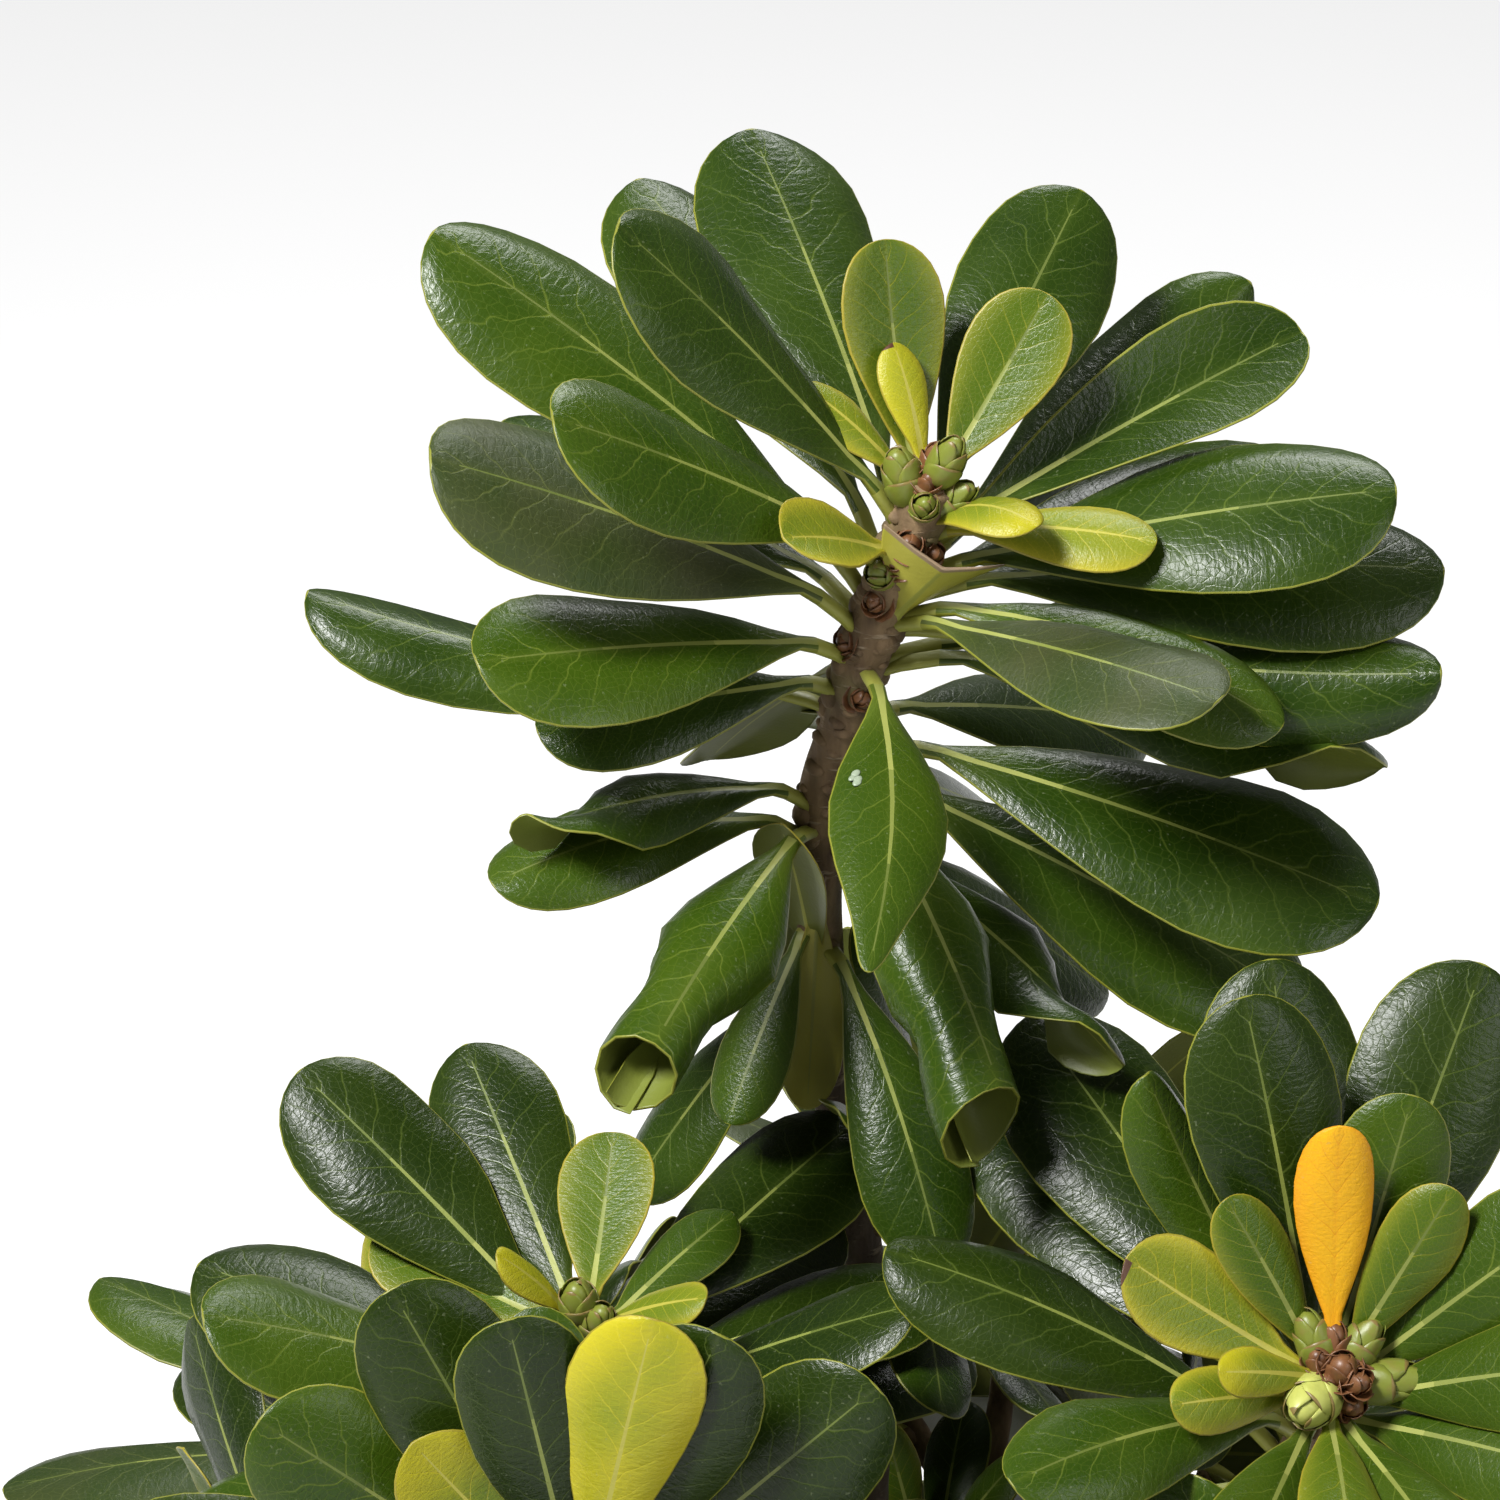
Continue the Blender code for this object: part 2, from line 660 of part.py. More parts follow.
def build_bough(name, plan, bark):
    """One tapering limb, cut off where it would enter the trunk."""
    radii = taper(BOUGH_FOOT_RADIUS, BOUGH_TIP_RADIUS, len(plan["bough"]))
    tube = tube_mesh(plan["bough"], radii, BOUGH_SIDES, last_way=plan["stem_way"])
    bough = object_from(tube, f"{name}_bough", bark)
    combine(bough, "DIFFERENCE", [build_trunk(bark, swell=GAP)])
    clean_solid(bough)
    return bough


def build_stem(name, plan, foliage):
    """The stem of a mass, with its forked twigs fused on."""
    radii = [BOUGH_TIP_RADIUS] * len(plan["stem"])
    tube = tube_mesh(plan["stem"], radii, STEM_SIDES, first_way=plan["stem_way"])
    stem = object_from(tube, f"{name}_foliage", foliage)
    twigs = []
    for line in plan["twigs"]:
        radii = taper(TWIG_RADIUS, TWIG_TIP_RADIUS, len(line))
        twigs.append(object_from(tube_mesh(line, radii, TWIG_SIDES), "twig", foliage))
    combine(stem, "UNION", twigs)
    return stem


def new_shoot(name, number, line, radius, stem, seed=None):
    """A shoot with the leaves it wants: those that show from the front, then those by rule."""
    shown = shown_leaves(SHOWN_LEAVES.get((name, number), ()))
    by_rule = whorl_leaves(seed, min(len(shown), LEAVES_PER_SHOOT - OLD_LEAVES)) if seed else []
    return {"line": line, "radius": radius, "owner": stem.name, "shown": shown, "by_rule": by_rule}


def ring_of_shoots(turn, reach, height):
    """Three shoots: the middle one higher, the outer two lower and to its sides."""
    shoots = []
    for share, step, rise, lean in RING_SHOOTS:
        aside = SHOOT_SPREAD * step
        shoots.append((reach * share, turn + aside, height + rise, lean, turn + aside * FACE_SPREAD))
    return shoots


def side_masses():
    """Foot height and shoots of every side mass, from the front ones to the low whorl."""
    masses = dict(FRONT_MASSES)
    for name, (turn, height) in BACK_MASSES.items():
        masses[name] = (BACK_FOOT, ring_of_shoots(turn, BACK_REACH, height))
    for k, turn in enumerate(LOW_TURNS):
        masses[f"low_{k + 1}"] = (LOW_FOOT + LOW_FOOT_STEP * k, ring_of_shoots(turn, LOW_REACH, LOW_HEIGHT))
    return masses


def build_shrub():
    bark = material("bark", (0.20, 0.13, 0.085), 0.85)
    young_bark = material("young_bark", (0.24, 0.18, 0.10), 0.75)
    foliage = material("foliage", (0.045, 0.12, 0.018), 0.35)

    wood = [build_trunk(bark)]
    leader = build_leader(foliage)
    wood.append(leader[0])
    masses = [leader]
    seed = FIRST_SEED
    for name, (foot_height, shoots) in side_masses().items():
        plan = plan_mass(foot_height, shoots)
        stem = build_stem(name, plan, foliage)
        wood += [build_bough(name, plan, young_bark), stem]
        own_shoots = []
        for k, line in enumerate(plan["twigs"]):
            own_shoots.append(new_shoot(name, k, line, TWIG_TIP_RADIUS, stem, seed))
            seed += 1
        masses.append((stem, own_shoots))

    # The leaves that show from the front take their room first
    placed = [wood_entry(obj) for obj in wood]
    leaves = {stem.name: [] for stem, _ in masses}
    for kind, own_part in (("shown", "blade"), ("by_rule", "whole")):
        for stem, own_shoots in masses:
            for shoot in own_shoots:
                leaves[stem.name] += place_leaves(shoot, shoot[kind], placed, own_part)
    for stem, _ in masses:
        combine(stem, "UNION", [leaf_object(leaf, foliage) for leaf in leaves[stem.name]])
        clean_solid(stem)
        print(stem.name, len(leaves[stem.name]), "leaves", len(stem.data.polygons), "triangles")


def main():
    clear_scene()
    build_shrub()


main()
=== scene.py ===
import math
import random

import bmesh
import bpy
from mathutils import Matrix, Vector, noise
from mathutils.bvhtree import BVHTree


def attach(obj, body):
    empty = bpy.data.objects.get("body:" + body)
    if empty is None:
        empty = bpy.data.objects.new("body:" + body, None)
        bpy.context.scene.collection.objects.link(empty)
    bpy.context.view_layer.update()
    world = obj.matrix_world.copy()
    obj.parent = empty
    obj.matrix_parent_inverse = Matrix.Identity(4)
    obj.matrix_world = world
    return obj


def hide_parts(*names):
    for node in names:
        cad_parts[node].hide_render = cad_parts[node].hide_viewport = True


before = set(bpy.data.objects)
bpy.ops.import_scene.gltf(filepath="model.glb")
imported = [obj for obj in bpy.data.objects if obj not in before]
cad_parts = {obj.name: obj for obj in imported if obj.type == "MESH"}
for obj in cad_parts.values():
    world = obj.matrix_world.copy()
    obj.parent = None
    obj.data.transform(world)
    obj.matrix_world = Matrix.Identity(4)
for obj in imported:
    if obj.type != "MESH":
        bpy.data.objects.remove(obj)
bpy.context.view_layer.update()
print("frame loaded:", len(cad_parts), "nodes")


# Finishes


class Wire:
    # one socket of a material's nodes, so that sums can be written in Python
    def __init__(self, tree, socket):
        self.tree = tree
        self.socket = socket

    def maths(self, operation, *sides):
        made = self.tree.nodes.new("ShaderNodeMath")
        made.operation = operation
        for place, side in zip(made.inputs, sides):
            if isinstance(side, Wire):
                self.tree.links.new(side.socket, place)
            else:
                place.default_value = side
        return Wire(self.tree, made.outputs[0])

    def __add__(self, other):
        return self.maths("ADD", self, other)

    def __radd__(self, other):
        return self.maths("ADD", other, self)

    def __sub__(self, other):
        return self.maths("SUBTRACT", self, other)

    def __rsub__(self, other):
        return self.maths("SUBTRACT", other, self)

    def __mul__(self, other):
        return self.maths("MULTIPLY", self, other)

    def __rmul__(self, other):
        return self.maths("MULTIPLY", other, self)

    def __truediv__(self, other):
        return self.maths("DIVIDE", self, other)

    def __rtruediv__(self, other):
        return self.maths("DIVIDE", other, self)

    def __abs__(self):
        return self.maths("ABSOLUTE", self)

    def part(self):
        return self.maths("FRACT", self)

    def held(self):
        # kept between 0 and 1
        return self.maths("MINIMUM", self.maths("MAXIMUM", self, 0.0), 1.0)

    def above(self, start, gain):
        # 0 up to the start, then rising by the gain until it is 1
        return ((self - start) * gain).held()


class Finish:
    # a material whose nodes are added one by one
    def __init__(self, name, roughness):
        self.material = bpy.data.materials.new(name)
        self.material.use_nodes = True
        self.tree = self.material.node_tree
        self.shader = self.tree.nodes["Principled BSDF"]
        self.shader.inputs["Roughness"].default_value = roughness

    def feed(self, place, value):
        if isinstance(value, Wire):
            self.tree.links.new(value.socket, place)
        elif isinstance(value, tuple) and len(value) == 3 and len(place.default_value) == 4:
            place.default_value = (*value, 1.0)
        else:
            place.default_value = value

    def node(self, kind, settings, values, output=0):
        made = self.tree.nodes.new(kind)
        for name, value in settings.items():
            setattr(made, name, value)
        for name, value in values.items():
            self.feed(made.inputs[name], value)
        return Wire(self.tree, made.outputs[output])

    def blend(self, share, first, second):
        # a mix of two colours
        return self.node("ShaderNodeMix", {"data_type": "RGBA"}, {0: share, 6: first, 7: second}, 2)

    def scaled(self, way, size):
        # a vector times a number
        return self.node("ShaderNodeVectorMath", {"operation": "SCALE"}, {0: way, "Scale": size})

    def grain(self, place, scale, detail=3.0, stretch=(1, 1, 1)):
        spread = self.node("ShaderNodeMapping", {}, {"Vector": place, "Scale": stretch})
        values = {"Vector": spread, "Scale": scale, "Detail": detail}
        return self.node("ShaderNodeTexNoise", {}, values)

    def objectPlace(self):
        return self.node("ShaderNodeTexCoord", {}, {}, "Object")

    def show(self, colour, rise=None, bump=(), roughness=None):
        # sets the colour, the relief with the bump's strength and depth, and the roughness
        self.feed(self.shader.inputs["Base Color"], colour)
        if roughness is not None:
            self.feed(self.shader.inputs["Roughness"], roughness)
        if rise is not None:
            values = {"Strength": bump[0], "Distance": bump[1], "Height": rise}
            self.feed(self.shader.inputs["Normal"], self.node("ShaderNodeBump", {}, values))
        return self.material


# Base colours of the blades: plain green, the paler mottle in it and its veins, then how far the
# colour of the veins spreads in from the edge, and how rough the blade is
bladeColours = {
    # dark: the deep green at about two thirds, painted shade for the leaves low in the crown
    "dark": ((0.0078, 0.0185, 0.001), (0.017, 0.033, 0.0017), (0.084, 0.118, 0.018), 0.05, 0.22),
    "deep": ((0.012, 0.029, 0.0014), (0.026, 0.052, 0.0024), (0.1, 0.14, 0.02), 0.05, 0.22),
    "green": ((0.022, 0.049, 0.002), (0.039, 0.072, 0.0032), (0.14, 0.18, 0.024), 0.08, 0.22),
    "bright": ((0.042, 0.08, 0.0036), (0.072, 0.115, 0.006), (0.26, 0.25, 0.022), 0.5, 0.24),
    "young": ((0.105, 0.15, 0.008), (0.17, 0.195, 0.01), (0.48, 0.39, 0.028), 0.62, 0.26),
    "lemon": ((0.37, 0.33, 0.01), (0.17, 0.215, 0.01), (0.52, 0.44, 0.03), 0.5, 0.26),
    "amber": ((0.68, 0.33, 0.005), (0.73, 0.41, 0.011), (0.56, 0.18, 0.007), 0.45, 0.3),
    "dusty": ((0.018, 0.035, 0.0034), (0.044, 0.049, 0.0165), (0.11, 0.13, 0.03), 0.05, 0.4),
}
# Patterns on the blades. Places are shares of the leaf's length or of its half width, and a pair
# says where a pattern starts and how steeply it rises.
bladeLook = {
    "specular": 0.26,
    "driftScale": 160.0,  # of the noise that bends the veins
    "veins": 11.0,  # side veins along the leaf
    "veinSlant": 2.2,
    "veinBow": 0.5,
    "veinDrift": 0.7,
    "veinWidth": 0.045,
    "veinReach": 1.05,
    "netDrift": (0.03, (1.0, 0.4, 0.0)),
    "netStretch": (20.0, 46.0, 1.0),
    "netWidth": 0.09,
    "cloudScale": 38.0,
    "mottle": (0.35, 2.4),
    "foot": (0.12, 0.20),  # where the blade's pale foot starts, and its length
    "ribWidth": 0.12,
    "edge": (0.90, 10.0),
    "rimStart": 0.35,
    "tip": (0.66, 4.0),
    "speckScale": 1150.0,
    "speck": (0.70, 14.0),
    "speckColour": (0.30, 0.34, 0.20),
    "wrinkleScale": 26.0,
    "wrinkleStretch": (0.5, 3.0, 1.0),
    "mottleRoughness": 0.16,
    "bump": (0.25, 0.0008),
}
# How much of each pattern shows in the colour, and how far it stands out
bladeBlend = {
    "foot": 0.50,
    "rib": 0.16,
    "edge": 0.12,
    "vein": 0.55,
    "net": 0.14,
    "tip": 0.85,
    "speck": 0.16,
}
bladeRise = {"wrinkle": 0.9, "swell": 0.35, "vein": 0.25, "net": 0.12}


def bladeFinish(name, isTipped=False):
    look = bladeLook
    plain, mottle, vein, rim, rough = bladeColours[name]
    finish = Finish(name, rough)
    finish.shader.inputs["Specular IOR Level"].default_value = look["specular"]
    leafUv = finish.node("ShaderNodeUVMap", {"uv_map": "leafUv"}, {})
    split = finish.tree.nodes.new("ShaderNodeSeparateXYZ")
    finish.feed(split.inputs[0], leafUv)
    across = abs(Wire(finish.tree, split.outputs[0]) - 0.5) * 2.0
    along = Wire(finish.tree, split.outputs[1])
    place = finish.objectPlace()
    drift = finish.grain(place, look["driftScale"], 1.0)
    # side veins leave the midrib forwards, and a fine net lies between them
    march = along * look["veins"] - across * look["veinSlant"] + across * across * look["veinBow"]
    offVein = abs((march + drift * look["veinDrift"]).part() - 0.5)
    sideVein = (1.0 - offVein / look["veinWidth"]).held() * (look["veinReach"] - across).held()
    size, way = look["netDrift"]
    values = {0: leafUv, 1: finish.scaled(way, drift * size)}
    drifted = finish.node("ShaderNodeVectorMath", {}, values)
    values = {"Vector": drifted, "Scale": look["netStretch"]}
    net = finish.node(
        "ShaderNodeTexVoronoi",
        {"feature": "DISTANCE_TO_EDGE", "voronoi_dimensions": "2D"},
        {"Vector": finish.node("ShaderNodeMapping", {}, values), "Scale": 1.0},
    )
    netVein = (1.0 - net / look["netWidth"]).held()
    cloud = finish.grain(place, look["cloudScale"], 2.0)
    body = finish.blend(cloud.above(*look["mottle"]), plain, mottle)
    # the blade pales towards its foot, its midrib and its very edge
    start, length = look["foot"]
    pale = (1.0 - (along - start) / length).held() * bladeBlend["foot"]
    pale = pale + (1.0 - across / look["ribWidth"]).held() * bladeBlend["rib"]
    spread = ((across - look["rimStart"]) / (1 - look["rimStart"])).held()
    pale = pale + across.above(*look["edge"]) * bladeBlend["edge"] + spread * spread * rim
    veins = sideVein * bladeBlend["vein"]
    colour = finish.blend((pale + veins + netVein * bladeBlend["net"]).held(), body, vein)
    if isTipped:
        share = along.above(*look["tip"]) * bladeBlend["tip"]
        colour = finish.blend(share, colour, bladeColours["lemon"][0])
    specks = finish.grain(place, look["speckScale"], 1.0).above(*look["speck"])
    colour = finish.blend(specks * bladeBlend["speck"], colour, look["speckColour"])
    wrinkle = finish.grain(leafUv, look["wrinkleScale"], 3.0, look["wrinkleStretch"])
    rise = wrinkle * bladeRise["wrinkle"] + offVein * bladeRise["swell"]
    rise = rise - sideVein * bladeRise["vein"] - netVein * bladeRise["net"]
    return finish.show(colour, rise, look["bump"], rough + cloud * look["mottleRoughness"])


trimColours = {
    "edgeGreen": (0.200, 0.210, 0.018),
    "edgeYellow": (0.300, 0.250, 0.020),
    "rib": (0.310, 0.335, 0.080),
    "ribSoft": (0.205, 0.240, 0.046),
    "ribFaint": (0.110, 0.145, 0.022),
    "stalk": (0.330, 0.335, 0.060),
    "under": (0.150, 0.168, 0.032),
    "hoodInside": (0.160, 0.190, 0.026),
    "underYellow": (0.400, 0.370, 0.050),
    "scorch": (0.075, 0.026, 0.008),
    "tornRim": (0.300, 0.210, 0.130),
}
trimLook = {
    "roughness": 0.45,
    "cloudScale": 110.0,
    "darkest": 0.72,  # share of the colour that is left where the clouds are darkest
    "grainScale": 1400.0,
    "bump": (0.2, 0.0003),
}


def trimFinish(name):
    # ribs, edges, stalks and undersides of leaves
    colour = trimColours[name]
    finish = Finish(name, trimLook["roughness"])
    place = finish.objectPlace()
    cloud = finish.grain(place, trimLook["cloudScale"], 2.0)
    darker = tuple(part * trimLook["darkest"] for part in colour)
    rise = finish.grain(place, trimLook["grainScale"], 2.0)
    return finish.show(finish.blend(cloud, colour, darker), rise, trimLook["bump"])


# Colours of each bark where it is dark, pale and mossy, and the depth of its fissures
barkColours = {
    "oldBark": ((0.050, 0.031, 0.020), (0.165, 0.125, 0.088), (0.085, 0.085, 0.045), 0.0010),
    "boughBark": ((0.055, 0.035, 0.021), (0.160, 0.118, 0.076), (0.080, 0.085, 0.035), 0.0007),
    "twigBark": ((0.070, 0.040, 0.018), (0.250, 0.165, 0.082), (0.140, 0.128, 0.040), 0.0009),
}
barkLook = {
    "roughness": 0.82,
    "stripeScale": 260.0,
    "stripeStretch": (1.0, 1.0, 0.22),
    "stripe": (0.3, 2.2),
    "cloudScale": 45.0,
    "moss": (0.52, 4.0),
    "dashScale": 330.0,
    "dashStretch": (0.5, 0.5, 2.4),
    "dash": (0.62, 9.0),
    "dashColour": (0.34, 0.27, 0.18),
    "dashBlend": 0.6,
    "grainScale": 1100.0,
    "rise": (1.2, 0.5, 0.4),  # of the stripes, the dashes and the grain
    "bump": 0.6,
}


def barkFinish(name):
    look = barkLook
    dark, pale, green, fissure = barkColours[name]
    finish = Finish(name, look["roughness"])
    place = finish.objectPlace()
    stripe = finish.grain(place, look["stripeScale"], 4.0, look["stripeStretch"])
    cloud = finish.grain(place, look["cloudScale"], 3.0)
    dashes = finish.grain(place, look["dashScale"], 2.0, look["dashStretch"])
    body = finish.blend(stripe.above(*look["stripe"]), dark, pale)
    mossy = finish.blend(cloud.above(*look["moss"]), body, green)
    lenticel = dashes.above(*look["dash"])
    colour = finish.blend(lenticel * look["dashBlend"], mossy, look["dashColour"])
    stripeRise, dashRise, grainRise = look["rise"]
    rise = stripe * stripeRise + lenticel * dashRise
    rise = rise + finish.grain(place, look["grainScale"], 3.0) * grainRise
    return finish.show(colour, rise, (look["bump"], fissure))


# Colours of bud scales and of the chalky spot, plain and where they are blotched
budColours = {
    "budGreen": ((0.155, 0.180, 0.022), (0.180, 0.140, 0.034)),
    "budRim": ((0.170, 0.120, 0.032), (0.190, 0.160, 0.040)),
    "budPale": ((0.410, 0.430, 0.100), (0.290, 0.320, 0.065)),
    "budBrown": ((0.160, 0.066, 0.024), (0.045, 0.018, 0.008)),
    "chalk": ((0.260, 0.310, 0.220), (0.130, 0.190, 0.090)),
}
budLook = {"roughness": 0.42, "scale": 420.0, "blotch": (0.50, 2.6), "bump": (0.4, 0.0003)}


def budFinish(name):
    finish = Finish(name, budLook["roughness"])
    cloud = finish.grain(finish.objectPlace(), budLook["scale"], 3.0)
    colour = finish.blend(cloud.above(*budLook["blotch"]), *budColours[name])
    return finish.show(colour, cloud, budLook["bump"])


finishes = {name: bladeFinish(name) for name in bladeColours}
finishes["youngTip"] = bladeFinish("young", isTipped=True)
finishes.update({name: trimFinish(name) for name in trimColours})
finishes.update({name: barkFinish(name) for name in barkColours})
finishes.update({name: budFinish(name) for name in budColours})
print("finishes ready:", len(finishes))


# Lines of the wood, as the source gives them

wood = {
    "gap": 0.0003,
    "trunkFoot": 0.0135,
    "trunk": 0.0085,
    "trunkTop": 0.0040,
    "flareHeight": 0.035,
    "boughFoot": 0.0046,
    "boughTip": 0.0034,
    "twig": 0.0031,
    "twigTip": 0.0027,
    "leader": 0.0036,
    "leaderTip": 0.0040,
    "leaderSides": 6,
    "stemSides": 6,
    "twigSides": 3,
    "forkDrop": 0.058,
    "stemLength": 0.026,
    "forkOutward": 0.62,
    "footRise": 0.55,
    "twigSink": 0.004,
    "pull": 0.8,  # how strongly a twig's ends keep to their ways
    "trunkFade": 1.3,  # power of the trunk's taper
    "lineSteps": 3,  # on each stretch of the trunk's and the leader's line
    "twigSteps": 4,
}
trunkPoints = (
    Vector((0.000, 0.000, 0.000)),
    Vector((0.000, 0.001, 0.060)),
    Vector((0.006, 0.004, 0.150)),
    Vector((-0.003, 0.004, 0.270)),
    Vector((0.002, 0.000, 0.380)),
    Vector((-0.007, -0.006, 0.450)),
)
leaderPoints = (
    Vector((-0.007, -0.006, 0.450)),
    Vector((-0.009, -0.012, 0.505)),
    Vector((-0.004, -0.017, 0.530)),
    Vector((0.000, -0.021, 0.548)),
    Vector((0.012, -0.030, 0.585)),
)
# Foot height, then for each shoot: reach, turn and height of its bud, its lean and the turn that it
# leans to
frontMasses = {
    "left_front": (
        0.285,
        ((0.092, 234, 0.433, 30, 235), (0.136, 247, 0.400, 42, 265), (0.136, 210, 0.362, 46, 205)),
    ),
    "right_front": (
        0.262,
        ((0.139, 308, 0.441, 62, 282), (0.157, 344, 0.392, 45, 340), (0.160, 284, 0.352, 50, 284)),
    ),
}
crown = {
    "backFoot": 0.225,
    "backReach": 0.116,
    "back": {"left_back": (152, 0.320), "right_back": (68, 0.345)},
    "lowFoot": 0.085,
    "lowFootStep": 0.011,
    "lowTurns": (200, 344, 272, 56, 128),
    "lowReach": 0.158,
    "lowHeight": 0.262,
    "spread": 25,
    "spreadLean": 1.3,
    # of a mass's three shoots: share of the reach, side, rise and lean
    "ring": ((0.94, 0, 0.022, 38), (1, -1, -0.022, 52), (1, 1, -0.008, 48)),
    "firstSeed": 20,
    "leavesPerShoot": 19,
    "oldLeaves": 4,
    "goldenTurn": 137.5,
}


def fromTurn(turn, reach, height=0.0):
    angle = math.radians(turn)
    return Vector((reach * math.cos(angle), reach * math.sin(angle), height))


def smoothLine(points, steps):
    # a curve through the points, with steps samples on each stretch between two of them
    line = []
    last = len(points) - 1
    for k in range(last):
        a, b, c, d = points[max(k - 1, 0)], points[k], points[k + 1], points[min(k + 2, last)]
        for step in range(steps):
            t = step / steps
            bow = (2 * a - 5 * b + 4 * c - d) * t**2 + (3 * b - a - 3 * c + d) * t**3
            line.append((2 * b + (c - a) * t + bow) / 2)
    return [*line, points[last].copy()]


def arch(start, startWay, end, endWay, steps):
    # a curve that leaves start along startWay and reaches end along endWay
    pull = (end - start).length
    line = []
    for step in range(steps + 1):
        t = step / steps
        line.append(
            start * (2 * t**3 - 3 * t**2 + 1)
            + startWay * pull * (t**3 - 2 * t**2 + t)
            + end * (3 * t**2 - 2 * t**3)
            + endWay * pull * (t**3 - t**2)
        )
    return line


def placing(right, ahead, up, point):
    # the matrix that sets a shape's axes and its place
    turned = Matrix((right, ahead, up)).transposed().to_4x4()
    turned.translation = point
    return turned


def waysAlong(line):
    last = len(line) - 1
    return [(line[min(k + 1, last)] - line[max(k - 1, 0)]).normalized() for k in range(last + 1)]


def taper(start, end, count, power=1):
    return [start + (end - start) * (k / (count - 1)) ** power for k in range(count)]


def addTube(made, line, radii, sides, firstWay=None, lastWay=None):
    # rings bridged along the line, closed by flat caps
    ways = waysAlong(line)
    ways[0] = firstWay or ways[0]
    ways[-1] = lastWay or ways[-1]
    side = ways[0].orthogonal().normalized()
    loops = []
    for k, (point, way, radius) in enumerate(zip(line, ways, radii)):
        side = (side - way * side.dot(way)).normalized()
        turned = placing(side, way.cross(side), way, point)
        isEnd = k in (0, len(line) - 1)
        ring = bmesh.ops.create_circle(
            made, cap_ends=isEnd, segments=sides, radius=radius, matrix=turned
        )
        own = set(ring["verts"])
        edges = {edge for vert in own for edge in vert.link_edges if own.issuperset(edge.verts)}
        loops.append(list(edges))
    for lower, upper in zip(loops, loops[1:]):
        bmesh.ops.bridge_loops(made, edges=lower + upper)


def trunkRadius(height):
    share = height / trunkPoints[-1].z
    flare = (wood["trunkFoot"] - wood["trunk"]) * max(0.0, 1 - height / wood["flareHeight"]) ** 2
    return flare + wood["trunk"] + (wood["trunkTop"] - wood["trunk"]) * share ** wood["trunkFade"]


def trunkPoint(height):
    line = smoothLine(trunkPoints, wood["lineSteps"])
    for lower, upper in zip(line, line[1:]):
        if height <= upper.z:
            return lower.lerp(upper, (height - lower.z) / (upper.z - lower.z))
    return upper


def planMass(footHeight, shoots):
    # the lines of the bough and of the forked stem that end at a mass's buds
    foot = trunkPoint(footHeight)
    buds = []
    for reach, turn, height, lean, face in shoots:
        way = fromTurn(face, math.sin(math.radians(lean)), math.cos(math.radians(lean)))
        buds.append((fromTurn(turn, reach, height), way))
    middle = sum((bud for bud, _ in buds), Vector()) / len(buds)
    outward = Vector((middle.x - foot.x, middle.y - foot.y, 0)).normalized()
    stemWay = (outward * wood["forkOutward"] + Vector((0, 0, 1))).normalized()
    fork = middle - stemWay * wood["forkDrop"]
    joint = fork - stemWay * wood["stemLength"]
    footWay = (outward + Vector((0, 0, wood["footRise"]))).normalized()
    twigs = []
    for bud, way in buds:
        rootWay = (stemWay + (bud - fork).normalized()).normalized()
        root = fork - stemWay * wood["twigSink"]
        twigs.append((root, rootWay * wood["pull"], bud, way * wood["pull"]))
    return {
        "bough": (foot, footWay, joint, stemWay),
        "stem": [joint + stemWay * wood["gap"], (joint + fork) / 2, fork],
        "stemWay": stemWay,
        "twigs": twigs,
    }


def ringOfShoots(turn, reach, height):
    # three shoots: the middle one higher, the outer two lower and to its sides
    rows = []
    for share, side, rise, lean in crown["ring"]:
        spread = side * crown["spread"]
        face = turn + spread * crown["spreadLean"]
        rows.append((reach * share, turn + spread, height + rise, lean, face))
    return rows


def sideMasses():
    masses = dict(frontMasses)
    for name, (turn, height) in crown["back"].items():
        masses[name] = (crown["backFoot"], ringOfShoots(turn, crown["backReach"], height))
    for k, turn in enumerate(crown["lowTurns"]):
        foot = crown["lowFoot"] + crown["lowFootStep"] * k
        masses[f"low_{k + 1}"] = (foot, ringOfShoots(turn, crown["lowReach"], crown["lowHeight"]))
    return masses


# One leaf: its spine is an arc, and its cross-section curls about the midrib

leafForm = {
    "length": 0.088,  # full-grown, stalk included
    "halfWidth": 0.178,  # share of the length
    "solidThick": 0.0012,  # of the plain leaf that finds the room
    "stalkShare": 0.13,
    "stalkHalfWidth": 0.0011,
    "rootOut": 0.3,  # the stalk's foot, as a share of the twig's radius
    "spineSteps": 20,
    "rollStart": 0.78,
    "rise": 1.15,  # the outline is b**rise * (1 - b)**fall along the blade
    "fall": 0.5,
    "solidStations": (0.0, 0.45, 0.80),
    "solidEnd": 0.975,
    "clearance": 0.0007,
    "facing": 16,  # a leaf that points sideways turns its face this far to the front
    "hoodShares": (0.45, 0.86),  # where a hooded leaf's end turns into an open tube
    "narrowShares": (0.39, 0.956),  # where a narrow-ended leaf draws in
}
# Bend of the spine, half width as a share of the length, curl of the cross-section, twist and
# rolled end of each shape
shapeRows = {
    "plain": (14, 0.174, 26, 0, 0),
    "broad": (12, 0.194, 22, 0, 0),
    "drooping": (42, 0.165, 34, 0, 0),
    "rolled": (30, 0.165, 40, 0, 150),
    "pointed": (-22, 0.150, 62, 20, 0),
    "folded": (10, 0.150, -48, 0, 0),
    "young": (-12, 0.215, -16, 0, 0),
    "small": (24, 0.190, 30, 0, 0),
    "slim": (-8, 0.158, 18, 0, 0),
    "arched": (84, 0.205, 34, 0, 0),
    "trough": (22, 0.235, -24, 0, 0),
    "turned": (-14, 0.130, 34, 160, 0),
}
shapeParts = ("bend", "halfWidth", "curl", "twist", "roll")
leafShapes = {name: dict(zip(shapeParts, row)) for name, row in shapeRows.items()}
leafShapes["trough"]["lay"] = 9  # only the finished leaf lies this much lower

